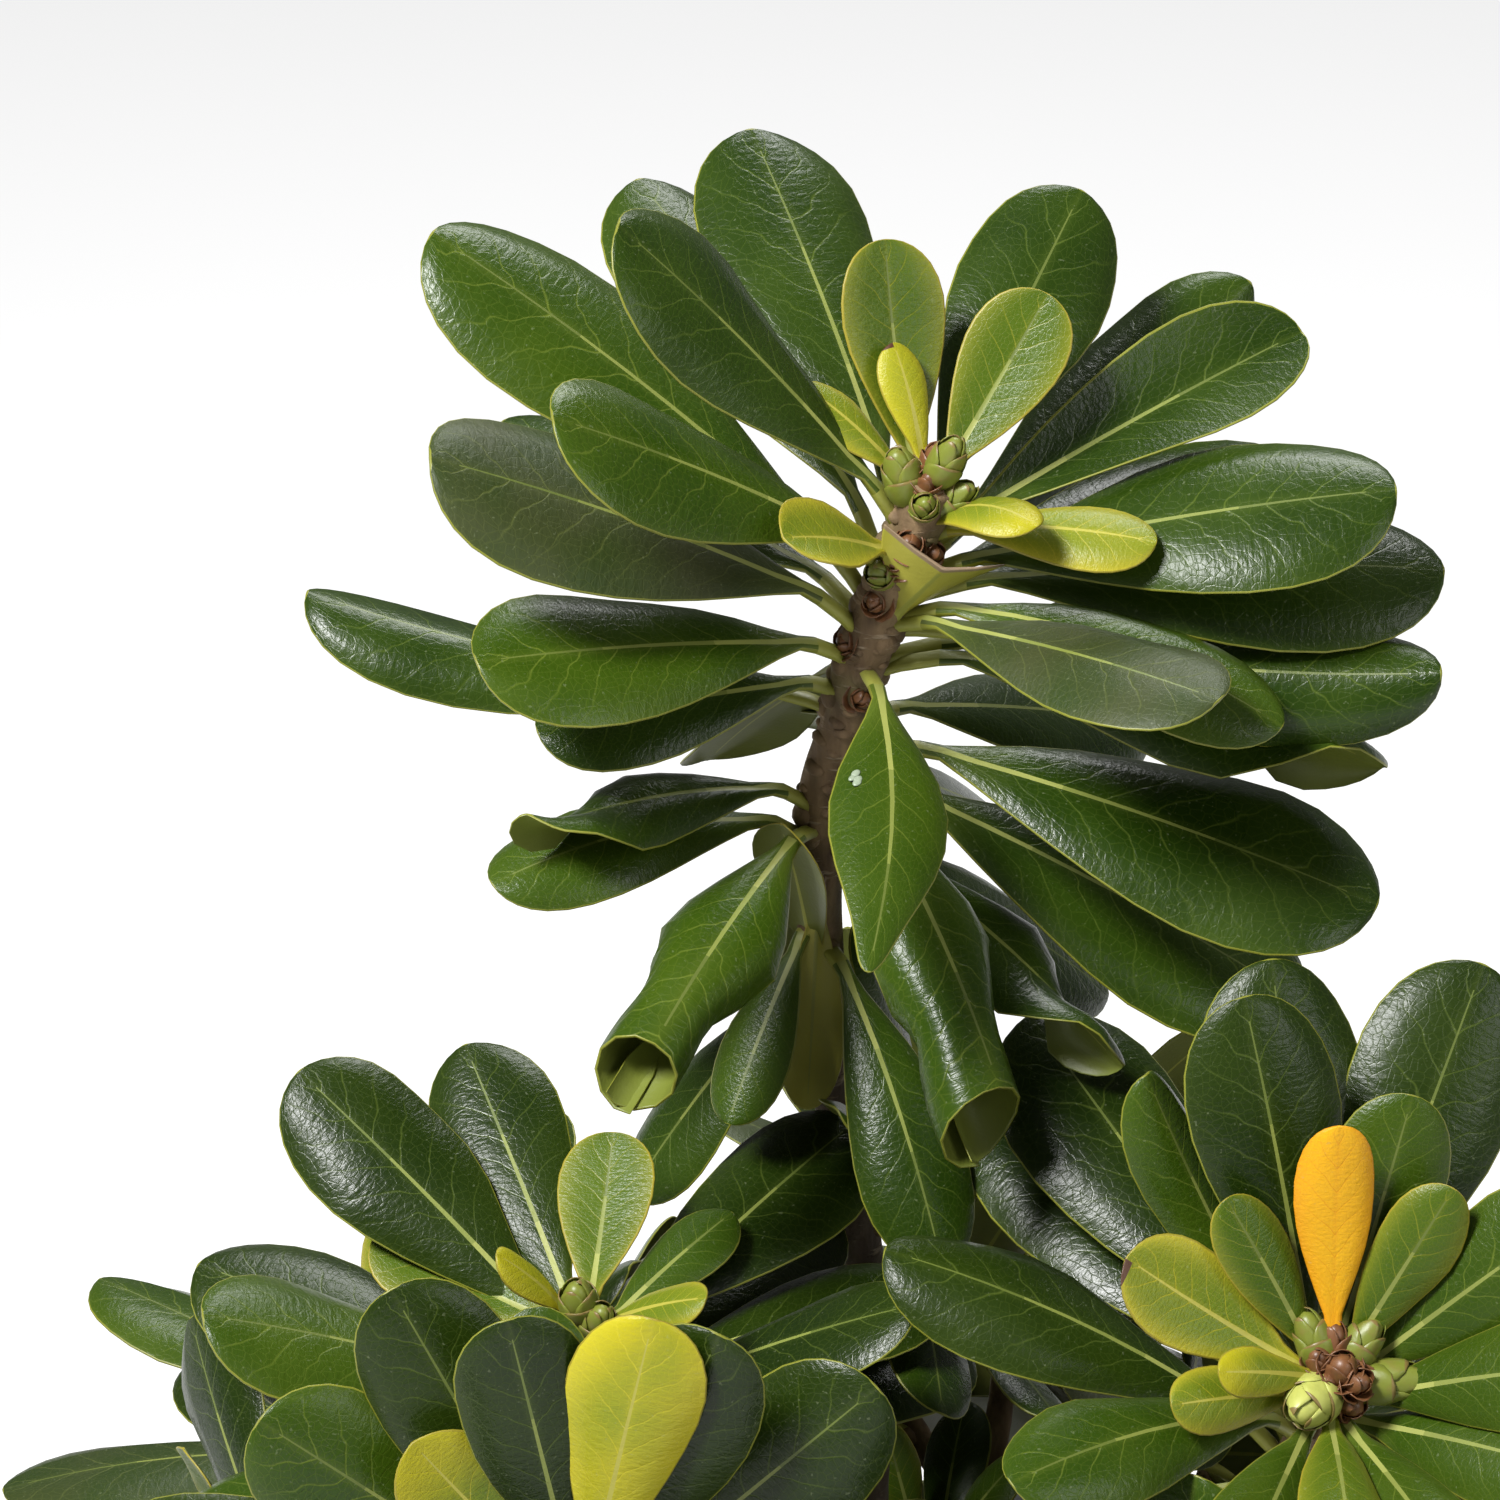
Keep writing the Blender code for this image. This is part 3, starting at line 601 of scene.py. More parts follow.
# Leaves that show from the front, youngest first: distance of the root below the bud in mm, turn
# round the shoot (0 front, 90 right), angle from the shoot, length in mm, shape, tint, and for a
# hooded leaf the turn of its open end about the midrib, how far that end bends and how far it curls
shownLeaves = {
    ("leader", 0): (
        (3, 222, 48, 28, "small", "lemonSpotted"),
        (5, 256, 68, 31, "small", "young"),
        (6, 158, 38, 45, "young", "bright"),
        (7, 214, 46, 50, "young", "bright"),
        (15, 52, 48, 34, "arched", "youngTipped"),
        (18, 312, 62, 36, "trough", "young"),
        (12, 82, 68, 45, "small", "young"),
        (14, 166, 58, 80, "broad", "deep"),
        (12, 272, 57, 85, "broad", "deep"),
        (15, 209, 75, 96, "broad", "deep"),
        (32, 36, 36, 30, "folded", "torn"),
        (18, 126, 60, 88, "folded", "deep"),
        (20, 292, 70, 84, "broad", "green"),
        (22, 144, 69, 102, "pointed", "deep"),
        (23, 94, 60, 94, "broad", "deep"),
        (22, 218, 82, 102, "plain", "deep"),
        (24, 128, 78, 92, "broad", "deep"),
        (26, 98, 73, 104, "plain", "deep"),
        (28, 254, 74, 108, "plain", "green"),
        (31, 86, 75, 105, "pointed", "deep"),
        (32, 230, 105, 98, "plain", "deep"),
        (34, 286, 75, 98, "broad", "dusty"),
        (30, 72, 80, 80, "drooping", "green"),
        (32, 54, 66, 76, "broad", "dusty"),
        (40, 106, 88, 102, "broad", "deep"),
        (40, 298, 88, 82, "broad", "green"),
        (40, 6, 103, 77, "plain", "greenNarrow"),
        (42, 90, 89, 102, "rolled", "deep", (-78, 6, 14)),
        (48, 290, 100, 62, "broad", "deep"),
        (52, 262, 95, 106, "pointed", "deep"),
        (44, 204, 146, 74, "plain", "deep"),
        (56, 126, 108, 82, "plain", "deep"),
        (60, 78, 87, 106, "broad", "deep"),
        (60, 172, 128, 84, "plain", "deep"),
        (66, 34, 111, 88, "rolled", "green", (-20, -34, 156)),
        (68, 82, 102, 103, "broad", "deep"),
        (70, 148, 122, 82, "plain", "deep"),
        (76, 302, 84, 68, "rolled", "deep", (60, -80, 14)),
        (82, 58, 110, 76, "rolled", "deep", (-88, -10, 14)),
        (80, 336, 102, 84, "rolled", "green", (-15, -26, 174)),
        (84, 300, 88, 72, "drooping", "green"),
        (84, 106, 126, 80, "plain", "deep"),
        (90, 350, 162, 52, "turned", "young"),
        (98, 208, 140, 66, "plain", "deep"),
        (102, 326, 146, 46, "plain", "green"),
        (122, 334, 16, 48, "plain", "bright"),
        (106, 22, 132, 74, "drooping", "deep"),
        (114, 290, 138, 62, "plain", "deep"),
    ),
    ("left_front", 0): (
        (3, 278, 30, 26, "small", "lemon"),
        (4, 68, 61, 30, "small", "young"),
        (5, 170, 74, 44, "young", "bright"),
        (5, 238, 79, 46, "young", "bright"),
        (8, 28, 52, 34, "folded", "green"),
        (8, 136, 87, 41, "plain", "green"),
        (10, 198, 69, 70, "broad", "deep"),
        (14, 218, 60, 80, "broad", "deep"),
        (14, 138, 80, 80, "broad", "deep"),
        (22, 138, 88, 80, "broad", "deep"),
        (20, 114, 84, 74, "plain", "deep"),
        (26, 76, 57, 72, "plain", "deep"),
        (24, 286, 68, 82, "broad", "green"),
        (32, 64, 56, 58, "plain", "green"),
        (32, 246, 82, 86, "broad", "deep"),
    ),
    ("left_front", 1): (
        (5, 164, 42, 68, "broad", "lemon"),
        (8, 230, 52, 50, "young", "youngTipped"),
        (10, 188, 41, 70, "broad", "deep"),
        (14, 214, 53, 78, "broad", "deep"),
        (18, 150, 40, 76, "broad", "deep"),
        (22, 246, 59, 80, "broad", "green"),
        (24, 132, 54, 80, "broad", "deep"),
    ),
    ("left_front", 2): (
        (3, 262, 40, 42, "young", "bright"),
        (5, 96, 40, 44, "young", "bright"),
        (8, 150, 62, 66, "broad", "deep"),
        (12, 216, 60, 74, "broad", "deep"),
        (16, 288, 66, 80, "broad", "deep"),
        (20, 176, 84, 84, "broad", "deep"),
        (24, 244, 78, 86, "broad", "green"),
    ),
    ("right_front", 0): (
        (3, 198, 43, 50, "slim", "amber"),
        (3, 288, 65, 27, "small", "youngTipped"),
        (5, 256, 71, 46, "young", "youngSpotted"),
        (7, 230, 56, 42, "plain", "bright"),
        (8, 156, 42, 46, "plain", "bright"),
        (10, 276, 68, 36, "small", "young"),
        (10, 2, 56, 52, "plain", "bright"),
        (12, 176, 47, 60, "broad", "green"),
        (12, 28, 59, 62, "plain", "green"),
        (14, 208, 46, 78, "broad", "deep"),
        (14, 136, 44, 64, "broad", "green"),
        (14, 340, 64, 62, "plain", "green"),
        (16, 96, 42, 66, "plain", "green"),
        (16, 224, 63, 70, "pointed", "green"),
        (18, 168, 66, 88, "broad", "deep"),
        (20, 64, 48, 66, "plain", "green"),
        (20, 188, 66, 84, "broad", "deep"),
        (24, 216, 76, 98, "broad", "deep"),
        (24, 306, 76, 76, "drooping", "green"),
        (28, 228, 84, 96, "broad", "deep"),
    ),
}

# Finishes of each tint: blade, edge and underside, then whether its tip is scorched or its edge torn
tints = {
    # dark: painted shade, for the leaves of the masses below the leading shoot
    "dark": ("dark", "edgeGreen", "under", None),
    "deep": ("deep", "edgeGreen", "under", None),
    "green": ("green", "edgeGreen", "under", None),
    "greenNarrow": ("green", "edgeGreen", "under", None),
    "dusty": ("dusty", "edgeGreen", "under", None),
    "bright": ("bright", "edgeYellow", "under", None),
    "young": ("young", "edgeYellow", "underYellow", None),
    "youngTipped": ("youngTip", "edgeYellow", "underYellow", None),
    "youngSpotted": ("young", "edgeYellow", "underYellow", "tip"),
    "lemon": ("lemon", "edgeYellow", "underYellow", None),
    "lemonSpotted": ("lemon", "edgeYellow", "underYellow", "tip"),
    "amber": ("amber", "amber", "amber", None),
    "torn": ("young", "edgeYellow", "underYellow", "edge"),
}

bladePeak = leafForm["rise"] / (leafForm["rise"] + leafForm["fall"])
outlinePeak = bladePeak ** leafForm["rise"] * (1 - bladePeak) ** leafForm["fall"]


def outline(share):
    # half width at a share of the leaf's length, as a share of the widest half width
    blade = (share - leafForm["stalkShare"]) / (1 - leafForm["stalkShare"])
    if blade <= 0 or blade >= 1:
        return 0.0
    return blade ** leafForm["rise"] * (1 - blade) ** leafForm["fall"] / outlinePeak


def fade(value, start, end):
    # rises smoothly from 0 at the start to 1 at the end
    part = min(1.0, max(0.0, (value - start) / (end - start)))
    return part * part * (3 - 2 * part)


def halfAt(leaf, share):
    # half width of the leaf, which is at least the stalk's in its near half
    stalk = leaf.get("stalkHalfWidth", leafForm["stalkHalfWidth"]) if share < 0.5 else 0.0
    wide = max(outline(share), leaf.get("blunt", 0.0) * fade(share, *leafForm["hoodShares"]))
    wide *= 1 - leaf.get("narrow", 0.0) * fade(share, *leafForm["narrowShares"])
    return max(leaf["halfWidth"] * wide, stalk)


def spine(leaf):
    # points and angles (from the shoot's way) along the midrib
    steps = leafForm["spineSteps"]
    step = leaf["length"] / steps
    start = leafForm["rollStart"]
    along, out = 0.0, 0.0
    stations = []
    for k in range(steps + 1):
        share = k / steps
        angle = leaf["pitch"] + leaf["bend"] * (share - 0.5)
        angle += leaf["roll"] * max(0.0, (share - start) / (1 - start)) ** 2
        stations.append((along, out, angle))
        along += step * math.cos(math.radians(angle))
        out += step * math.sin(math.radians(angle))
    return stations


def leafPoint(leaf, stations, share, across):
    # a point of the leaf's surface at a share of its length and half width, and two ways up from it
    steps = leafForm["spineSteps"]
    place = share * steps
    k = min(int(place), steps - 1)
    part = place - k
    along, out, angle = (a + (b - a) * part for a, b in zip(stations[k], stations[k + 1]))
    turn = math.radians(angle)
    side = leaf["along"].cross(leaf["out"])
    up = leaf["along"] * math.sin(turn) - leaf["out"] * math.cos(turn)
    hood = fade(share, *leaf.get("turnShares", leafForm["hoodShares"]))
    twist = math.radians(leaf["twist"] + leaf.get("tipTwist", 0) * hood)
    cos, sin = math.cos(twist), math.sin(twist)
    side, up = side * cos + up * sin, up * cos - side * sin
    half = halfAt(leaf, share) * (1 - leaf.get("spiral", 0.0) * hood * max(0.0, across) ** 2)
    curl = math.radians(leaf["curl"] + leaf.get("tipCurl", 0) * hood)
    spread = half * math.sin(across * curl) / curl
    drop = half * (1 - math.cos(across * curl)) / curl
    normal = up * math.cos(across * curl) + side * math.sin(across * curl)
    spread += leaf.get("sway", 0.0) * math.sin(math.pi * share)
    point = leaf["root"] + leaf["along"] * along + leaf["out"] * out + side * spread - up * drop
    return point, up, normal


def leafSides(leaf, stations, share):
    return [leafPoint(leaf, stations, share, across)[0] for across in (-1.0, 1.0)]


def solidCorners(leaf, swell=0.0):
    # the plain leaf of the solids, which finds the room
    stations = spine(leaf)
    corners = []
    for share in leafForm["solidStations"]:
        middle, up, _ = leafPoint(leaf, stations, share, 0.0)
        left, right = leafSides(leaf, stations, share)
        rise = (middle - (left + right) / 2).dot(up)
        thick = math.copysign(max(abs(rise), leafForm["solidThick"]), rise or 1.0) + swell * 2
        wide = (right - left).normalized() * swell
        top = (left + right) / 2 + up * thick
        corners += [left - wide - up * swell, top, right + wide - up * swell]
    left, right = leafSides(leaf, stations, leafForm["solidEnd"])
    wide = (right - left).normalized() * swell
    ahead = (left + right - corners[-1] - corners[-3]).normalized() * swell
    return [*corners, left - wide + ahead, right + wide + ahead]


def solidFaces():
    # triangles between the three corners of each section, closed at the foot and at the end, which
    # has two corners
    faces = [(0, 1, 2)]
    for k in range(len(leafForm["solidStations"]) - 1):
        a, b = 3 * k, 3 * k + 3
        for i, j in ((0, 1), (1, 2), (2, 0)):
            faces += [(a + i, b + i, b + j), (a + i, b + j, a + j)]
    left = 3 * len(leafForm["solidStations"])
    a, b, c, right = left - 3, left - 2, left - 1, left + 1
    return [*faces, (a, left, b), (b, left, right), (b, right, c), (c, right, left), (c, left, a)]


leafFaces = solidFaces()
bladeFaces = leafFaces[7:]  # the outer half of the leaf, past its first section


# Shoots and the leaves that they want


def shootFrame(line, drop):
    # point and way of a shoot at a distance below its bud
    for lower, upper in zip(line[-2::-1], line[:0:-1]):
        length = (upper - lower).length
        if drop <= length:
            break
        drop -= length
    way = (upper - lower).normalized()
    return upper - way * drop, way


def outWay(way, turn):
    # the way off a shoot at a turn round it, counted from the side that faces the front
    front = Vector((0, -1, 0))
    front = (front - way * front.dot(way)).normalized()
    right = front.cross(way) * -1
    angle = math.radians(turn)
    return front * math.cos(angle) + right * math.sin(angle)


def newLeaf(shoot, sizes):
    point, way = shootFrame(shoot["line"], sizes["drop"])
    out = outWay(way, sizes["turn"])
    return {
        **sizes,
        "root": point + out * shoot["radius"] * leafForm["rootOut"],
        "along": way,
        "out": out,
        "halfWidth": sizes["halfWidth"] * sizes["length"],
    }


def listedLeaves(rows):
    leaves = []
    for drop, turn, pitch, length, shape, tint, *hood in rows:
        leaf = {"drop": drop / 1000, "turn": turn, "pitch": pitch, "length": length / 1000}
        leaf.update(leafShapes[shape], tint=tint, hood=hood[0] if hood else None)
        leaf["twist"] += leafForm["facing"] * math.sin(math.radians(turn))
        leaves.append(leaf)
    return leaves


# Leaves by rule, by their age from 0 at the bud to 1: a pair gives the value at 0 and what it gains
# by 1, and a third number is the power of the age
whorl = {
    "dyeSeed": 1000,  # added to the shoot's own
    "drop": (0.002, 0.038, 1.1),
    "pitch": (26, 72, 0.85),
    "bend": (6, 34),
    "length": (0.36, 0.64, 0.9),  # share of a full-grown leaf
    "grownAge": 0.32,
    "turnDrift": (-9, 9),
    "pitchDrift": (-7, 7),
    "lengthDrift": (0.90, 1.06),
    "bendDrift": (-10, 10),
    "widthDrift": (0.9, 1.1),
    "curl": (14, 46),
    "twist": (-12, 12),
    "rolls": (0, 0, 0, 60),
    "rollAge": 0.6,
    # up to which age, and the tints to draw from
    "tints": (
        (0.12, ("bright", "young", "bright")),
        (0.3, ("bright", "green", "green")),
        (2, ("green", "deep", "deep", "deep", "deep", "deep", "dusty")),
    ),
}


def aged(rule, age):
    start, gain, *power = rule
    return start + gain * (age ** power[0] if power else age)


def whorlLeaves(seed, first):
    # leaves of a side shoot by rule, youngest first from the given one: each a golden turn on
    draw = random.Random(seed)
    dye = random.Random(seed + whorl["dyeSeed"])
    leaves = []
    start = draw.uniform(0, 360)
    last = crown["leavesPerShoot"] - 1
    for k in range(crown["leavesPerShoot"]):
        age = k / last
        grown = aged(whorl["length"], min(1.0, age / whorl["grownAge"]))
        leaf = {
            "drop": aged(whorl["drop"], age),
            "turn": start + crown["goldenTurn"] * k + draw.uniform(*whorl["turnDrift"]),
            "pitch": aged(whorl["pitch"], age) + draw.uniform(*whorl["pitchDrift"]),
            "length": leafForm["length"] * grown * draw.uniform(*whorl["lengthDrift"]),
            "bend": aged(whorl["bend"], age) + draw.uniform(*whorl["bendDrift"]),
            "halfWidth": leafForm["halfWidth"] * draw.uniform(*whorl["widthDrift"]),
            "curl": draw.uniform(*whorl["curl"]),
            "twist": draw.uniform(*whorl["twist"]),
            "roll": draw.choice(whorl["rolls"]) if age > whorl["rollAge"] else 0,
            "tint": dye.choice(next(tints for end, tints in whorl["tints"] if age < end)),
        }
        if k >= first:
            leaves.append(leaf)
    return leaves


def newShoot(name, number, line, radius, seed=None):
    # a shoot with the leaves that are listed for it, and with those that the rule adds below them
    shown = listedLeaves(shownLeaves.get((name, number), ()))
    first = min(len(shown), crown["leavesPerShoot"] - crown["oldLeaves"])
    byRule = whorlLeaves(seed, first) if seed else []
    return {"mass": name, "line": line, "radius": radius, "shown": shown, "byRule": byRule}


# Room for leaves: each keeps clear of the wood and of every leaf placed before it

tries = [
    (turn, pitch, shrink)
    for shrink in (1.0, 0.88, 0.76)
    for pitch in (0, -9, 9, -18, 16)
    for turn in (0, 9, -9, 18, -18)
]


def roomEntry(owner, corners, faces, outerFaces=None):
    # what takes up room: its trees for overlaps, and the ball that it lies in
    centre = sum(corners, Vector()) / len(corners)
    return {
        "owner": owner,
        "centre": centre,
        "reach": max((corner - centre).length for corner in corners),
        "whole": BVHTree.FromPolygons(corners, faces),
        "blade": outerFaces and BVHTree.FromPolygons(corners, outerFaces),
    }


def isClear(entry, placed, ownPart):
    # leaves of one mass may meet at their feet, where only ownPart of each counts
    for other in placed:
        if (other["centre"] - entry["centre"]).length > entry["reach"] + other["reach"]:
            continue
        isOwn = other["owner"] == entry["owner"]
        if isOwn and not other["blade"]:
            continue
        part = ownPart if isOwn else "whole"
        if entry[part].overlap(other[part]):
            return False
    return True


def placeLeaves(shoot, wanted, placed, ownPart):
    # fits each wanted leaf in the room that is left, turned or shortened a little if it must be
    kept = []
    for sizes in wanted:
        for turn, pitch, shrink in tries:
            changed = dict(sizes)
            changed["turn"] += turn
            changed["pitch"] += pitch
            changed["length"] *= shrink
            leaf = newLeaf(shoot, changed)
            true, swollen = (
                roomEntry(shoot["mass"], solidCorners(leaf, swell), leafFaces, bladeFaces)
                for swell in (0.0, leafForm["clearance"])
            )
            if isClear(swollen, placed, ownPart) and isClear(true, placed, ownPart):
                placed.append(true)
                kept.append(leaf)
                break
    return kept


def meshEntry(owner, made):
    bmesh.ops.triangulate(made, faces=made.faces)
    corners = [vert.co.copy() for vert in made.verts]
    made.verts.index_update()
    entry = roomEntry(owner, corners, [[vert.index for vert in face.verts] for face in made.faces])
    made.free()
    return entry


def nodeEntry(name):
    made = bmesh.new()
    made.from_mesh(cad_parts[name].data)
    return meshEntry(name, made)


def leaderStem():
    line = smoothLine(leaderPoints, wood["lineSteps"])
    line[0] = line[0] + (line[1] - line[0]).normalized() * wood["gap"]
    return line


plans = {name: planMass(*mass) for name, mass in sideMasses().items()}
placed = [nodeEntry(name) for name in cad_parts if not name.endswith("_foliage")]
leaderLine = leaderStem()
plainStem = bmesh.new()
radii = taper(wood["leader"], wood["leaderTip"], len(leaderLine), power=2)
trunkWay = waysAlong(smoothLine(trunkPoints, wood["lineSteps"]))[-1]
addTube(plainStem, leaderLine, radii, wood["leaderSides"], trunkWay)
placed.append(meshEntry("leader", plainStem))
shoots = {"leader": [newShoot("leader", 0, leaderLine, wood["leader"])]}
seed = crown["firstSeed"]
for name, plan in plans.items():
    plainStem = bmesh.new()
    radii = [wood["boughTip"]] * 3
    addTube(plainStem, plan["stem"], radii, wood["stemSides"], plan["stemWay"])
    shoots[name] = []
    for k, ends in enumerate(plan["twigs"]):
        line = arch(*ends, wood["twigSteps"])
        addTube(plainStem, line, taper(wood["twig"], wood["twigTip"], len(line)), wood["twigSides"])
        shoots[name].append(newShoot(name, k, line, wood["twigTip"], seed))
        seed += 1
    placed.append(meshEntry(name, plainStem))
leaves = {name: [] for name in shoots}
for kind, ownPart in (("shown", "blade"), ("byRule", "whole")):
    for name, ownShoots in shoots.items():
        for shoot in ownShoots:
            leaves[name] += placeLeaves(shoot, shoot[kind], placed, ownPart)
# the deep green of the masses below the leading shoot is darkened further: painted shade for the
# shadow low in the crown
for name, own in leaves.items():
    for leaf in own:
        if name != "leader" and leaf["tint"] == "deep":
            leaf["tint"] = "dark"
print("leaves placed:", sum(len(own) for own in leaves.values()))

# Sprigs: short twigs with a few smaller leaves, along the boughs and the stem of the leader

sprigForm = {
    "seed": 900,
    "boughSteps": 24,
    "boughShares": (0.50, 0.68, 0.84, 0.97),
    "trunkHeights": (0.300, 0.330, 0.360, 0.385, 0.410, 0.315, 0.345, 0.372, 0.398, 0.422),
    "turns": (0, 120, 240),
    "turnDrift": (-20, 20),
    "length": (0.022, 0.036),
    "rise": (0.5, 1.1),  # how far it leans along the limb
    "lift": 0.5,
    "pull": 0.8,
    "steps": 6,
    "radius": 0.0016,
    "footSwell": 1.5,
    "free": 0.008,  # the first stretch, which lies in the limb's bark
    "leaves": 9,
    "fewest": 3,
    "drop": (0.001, 0.016),
    "pitch": (24, 66),
    "pitchDrift": (-8, 8),
    "leafLength": (0.040, 0.066),
    "growth": (0.62, 0.38),
    "growthRate": 3,
    "bend": (4, 34),
    "widthDrift": (0.92, 1.08),
    "curl": (14, 40),
    "twist": (-12, 12),
    "youngAge": 0.2,
    "tints": ("green", "green", "deep", "deep", "dusty"),
}


def sprigLeaves(draw):
    # leaves from the sprig's tip down, a golden turn apart
    form = sprigForm
    wanted = []
    start = draw.uniform(0, 360)
    for k in range(form["leaves"]):
        age = k / (form["leaves"] - 1)
        grown = aged(form["growth"], min(1.0, age * form["growthRate"]))
        wanted.append(
            {
                "drop": aged(form["drop"], age),
                "turn": start + crown["goldenTurn"] * k,
                "pitch": aged(form["pitch"], age) + draw.uniform(*form["pitchDrift"]),
                "length": draw.uniform(*form["leafLength"]) * grown,
                "bend": draw.uniform(*form["bend"]),
                "halfWidth": leafForm["halfWidth"] * draw.uniform(*form["widthDrift"]),
                "curl": draw.uniform(*form["curl"]),
                "twist": draw.uniform(*form["twist"]),
                "roll": 0,
                "onSprig": True,
                "tint": "bright" if age < form["youngAge"] else draw.choice(form["tints"]),
            }
        )
    return wanted


def addSprig(name, foot, limbWay, turn, draw):
    # a sprig, where its twig and at least the fewest leaves find room
    out = outWay(limbWay, turn)
    lift = Vector((0, 0, sprigForm["lift"]))
    way = (out + limbWay * draw.uniform(*sprigForm["rise"]) + lift).normalized()
    end = foot + way * draw.uniform(*sprigForm["length"])
    line = arch(foot, out * sprigForm["pull"], end, way * sprigForm["pull"], sprigForm["steps"])
    wanted = sprigLeaves(draw)
    bare = bmesh.new()
    radii = [sprigForm["radius"]] * 2
    start = foot + (end - foot).normalized() * sprigForm["free"]
    addTube(bare, [start, end], radii, wood["twigSides"])
    twig = meshEntry(f"{name}_sprig", bare)
    if not isClear(twig, placed, "whole"):
        return
    shoot = {"mass": f"{name}_sprig", "line": line, "radius": sprigForm["radius"]}
    before = len(placed)
    own = placeLeaves(shoot, wanted, placed, "whole")
    if len(own) < sprigForm["fewest"]:
        del placed[before:]
        return
    placed.append({**twig, "blade": None})
    leaves[name] += own
    sprigs.append(shoot)


def limbSites():
    # where sprigs may grow: mass, point and way of the limb
    sites = []
    trunkLine = smoothLine(trunkPoints, wood["lineSteps"])
    for height in sprigForm["trunkHeights"]:
        sites.append(("leader", *shootFrame(trunkLine, trunkPoints[-1].z - height)))
    for name, plan in plans.items():
        bough = arch(*plan["bough"], sprigForm["boughSteps"])
        whole = sum((upper - lower).length for lower, upper in zip(bough, bough[1:]))
        for share in sprigForm["boughShares"]:
            sites.append((name, *shootFrame(bough, whole * (1 - share))))
    return sites


sprigs = []
sprigDraw = random.Random(sprigForm["seed"])
for k, (name, foot, limbWay) in enumerate(limbSites()):
    for turn in sprigForm["turns"]:
        drift = sprigDraw.uniform(*sprigForm["turnDrift"])
        addSprig(name, foot, limbWay, crown["goldenTurn"] * k + turn + drift, sprigDraw)
print("sprigs:", len(sprigs), "leaves now:", sum(len(own) for own in leaves.values()))


# Meshes of leaves and scales: one small grid, thickened, is shaped anew for every leaf

leafGrid = {
    "firstSeed": 500,
    "stalkShares": (0.0, 0.5),  # of the stalk
    "bladeShares": (
        *(0.0, 0.05, 0.12, 0.21, 0.31, 0.42, 0.53, 0.64),
        *(0.74, 0.82, 0.885, 0.93, 0.962, 0.984, 0.996, 0.9998),
    ),
    "strips": 2,  # of each blade half, between rib and edge
    "hoodStrips": 7,
    "edgeWidth": 0.00034,
    "ribHalfWidth": (0.00066, 0.00012),  # at the blade's foot and where the rib ends
    "ribEnds": {"rib": 0.42, "ribSoft": 0.68, "ribFaint": 0.93},
    "ribEnd": 0.93,
    "ribMost": 0.40,  # no more of the half width than this is rib
    "edgeMost": 0.22,  # or edge
    "thick": 0.00055,
    "edgeThin": 0.55,  # how much thinner the edge is
    "edgeFall": 0.035,  # how far it falls, as a share of the half width
    "stalkThick": 0.0029,
    "stalkFlat": 0.88,
    "stalkHalfWidth": 0.00160,
    "stalkSag": 0.0052,  # a stalk's foot sits this far down the twig, so the stalk arches out
    "sagPitches": (35, 85),  # at the first angle from the twig it starts, at the second it is full
    "sagLength": 0.07,  # a shorter leaf's stalk sags less
    "sagEnd": 0.22,  # share of the length where it ends
    "hood": {"blunt": 1.42, "cut": 0.86, "lip": 0.085, "spiral": 0.12},
    "hoodWidth": 1.28,
    "lipStart": 0.5,
    "closed": 60,  # a tip that curls less than this is turned over, not rolled into a tube
    "turnShares": (0.60, 0.90),
    "narrow": {"narrow": 0.72, "sway": 0.004},
    "narrowWidth": 1.25,
    "torn": {"cut": 0.56, "twist": -26, "pitch": 24},
    "tornLength": 1.6,
    "tornWidth": 3.5,
    "tornDrop": 0.005,  # the torn leaf's foot sits this far below the plain one's
    "stalkFade": 0.10,  # share of the length over which the stalk flattens into the blade
    "keel": 0.0007,  # the rib stands out this far below the blade's foot
    "keelFade": 1.5,
    "groove": 0.00030,
    "cushion": 0.055,  # rise between rib and edge, as a share of the half width
    "wave": 0.055,
    "waveDrift": (0.4, 1.3),
    "ripples": (1.2, 2.4),
    "phase": (0, 6.28),
    # shares of the length past which a face takes another finish
    "endStart": 0.995,
    "insideStart": 0.6,
    "scorchStart": 0.955,
    "tornStart": 0.975,
    "scorchSide": 3.5,  # a scorched tip lies on one side, past this column
}
scaleGrid = {"shares": (0.0, 0.3, 0.55, 0.78, 0.92, 0.995), "columns": 6, "thick": 0.00020}

stalkShare = leafForm["stalkShare"]
leafShares = [part * stalkShare for part in leafGrid["stalkShares"]]
leafShares += [stalkShare + part * (1 - stalkShare) for part in leafGrid["bladeShares"]]


def sortFaces(made):
    # some operators give faces in an order that differs from run to run, so their corners set it
    made.verts.index_update()
    count = len(made.verts)
    made.faces.sort(
        key=lambda face: sum(vert.index * count**k for k, vert in enumerate(face.verts[:3]))
    )


def shellTemplate(columns, rows):
    # corners as (column, row, is below) and faces of a thickened grid
    made = bmesh.new()
    bmesh.ops.create_grid(made, x_segments=columns, y_segments=rows, size=1)
    bmesh.ops.solidify(made, geom=made.faces[:], thickness=0.1)
    bmesh.ops.recalc_face_normals(made, faces=made.faces)
    sortFaces(made)
    middle = sum(vert.co.z for vert in made.verts) / len(made.verts)
    corners = []
    for vert in made.verts:
        column = round((vert.co.x + 1) / 2 * columns)
        row = round((vert.co.y + 1) / 2 * rows)
        corners.append((column, row, vert.co.z < middle))
    faces = [[vert.index for vert in reversed(face.verts)] for face in made.faces]
    made.free()
    return corners, faces


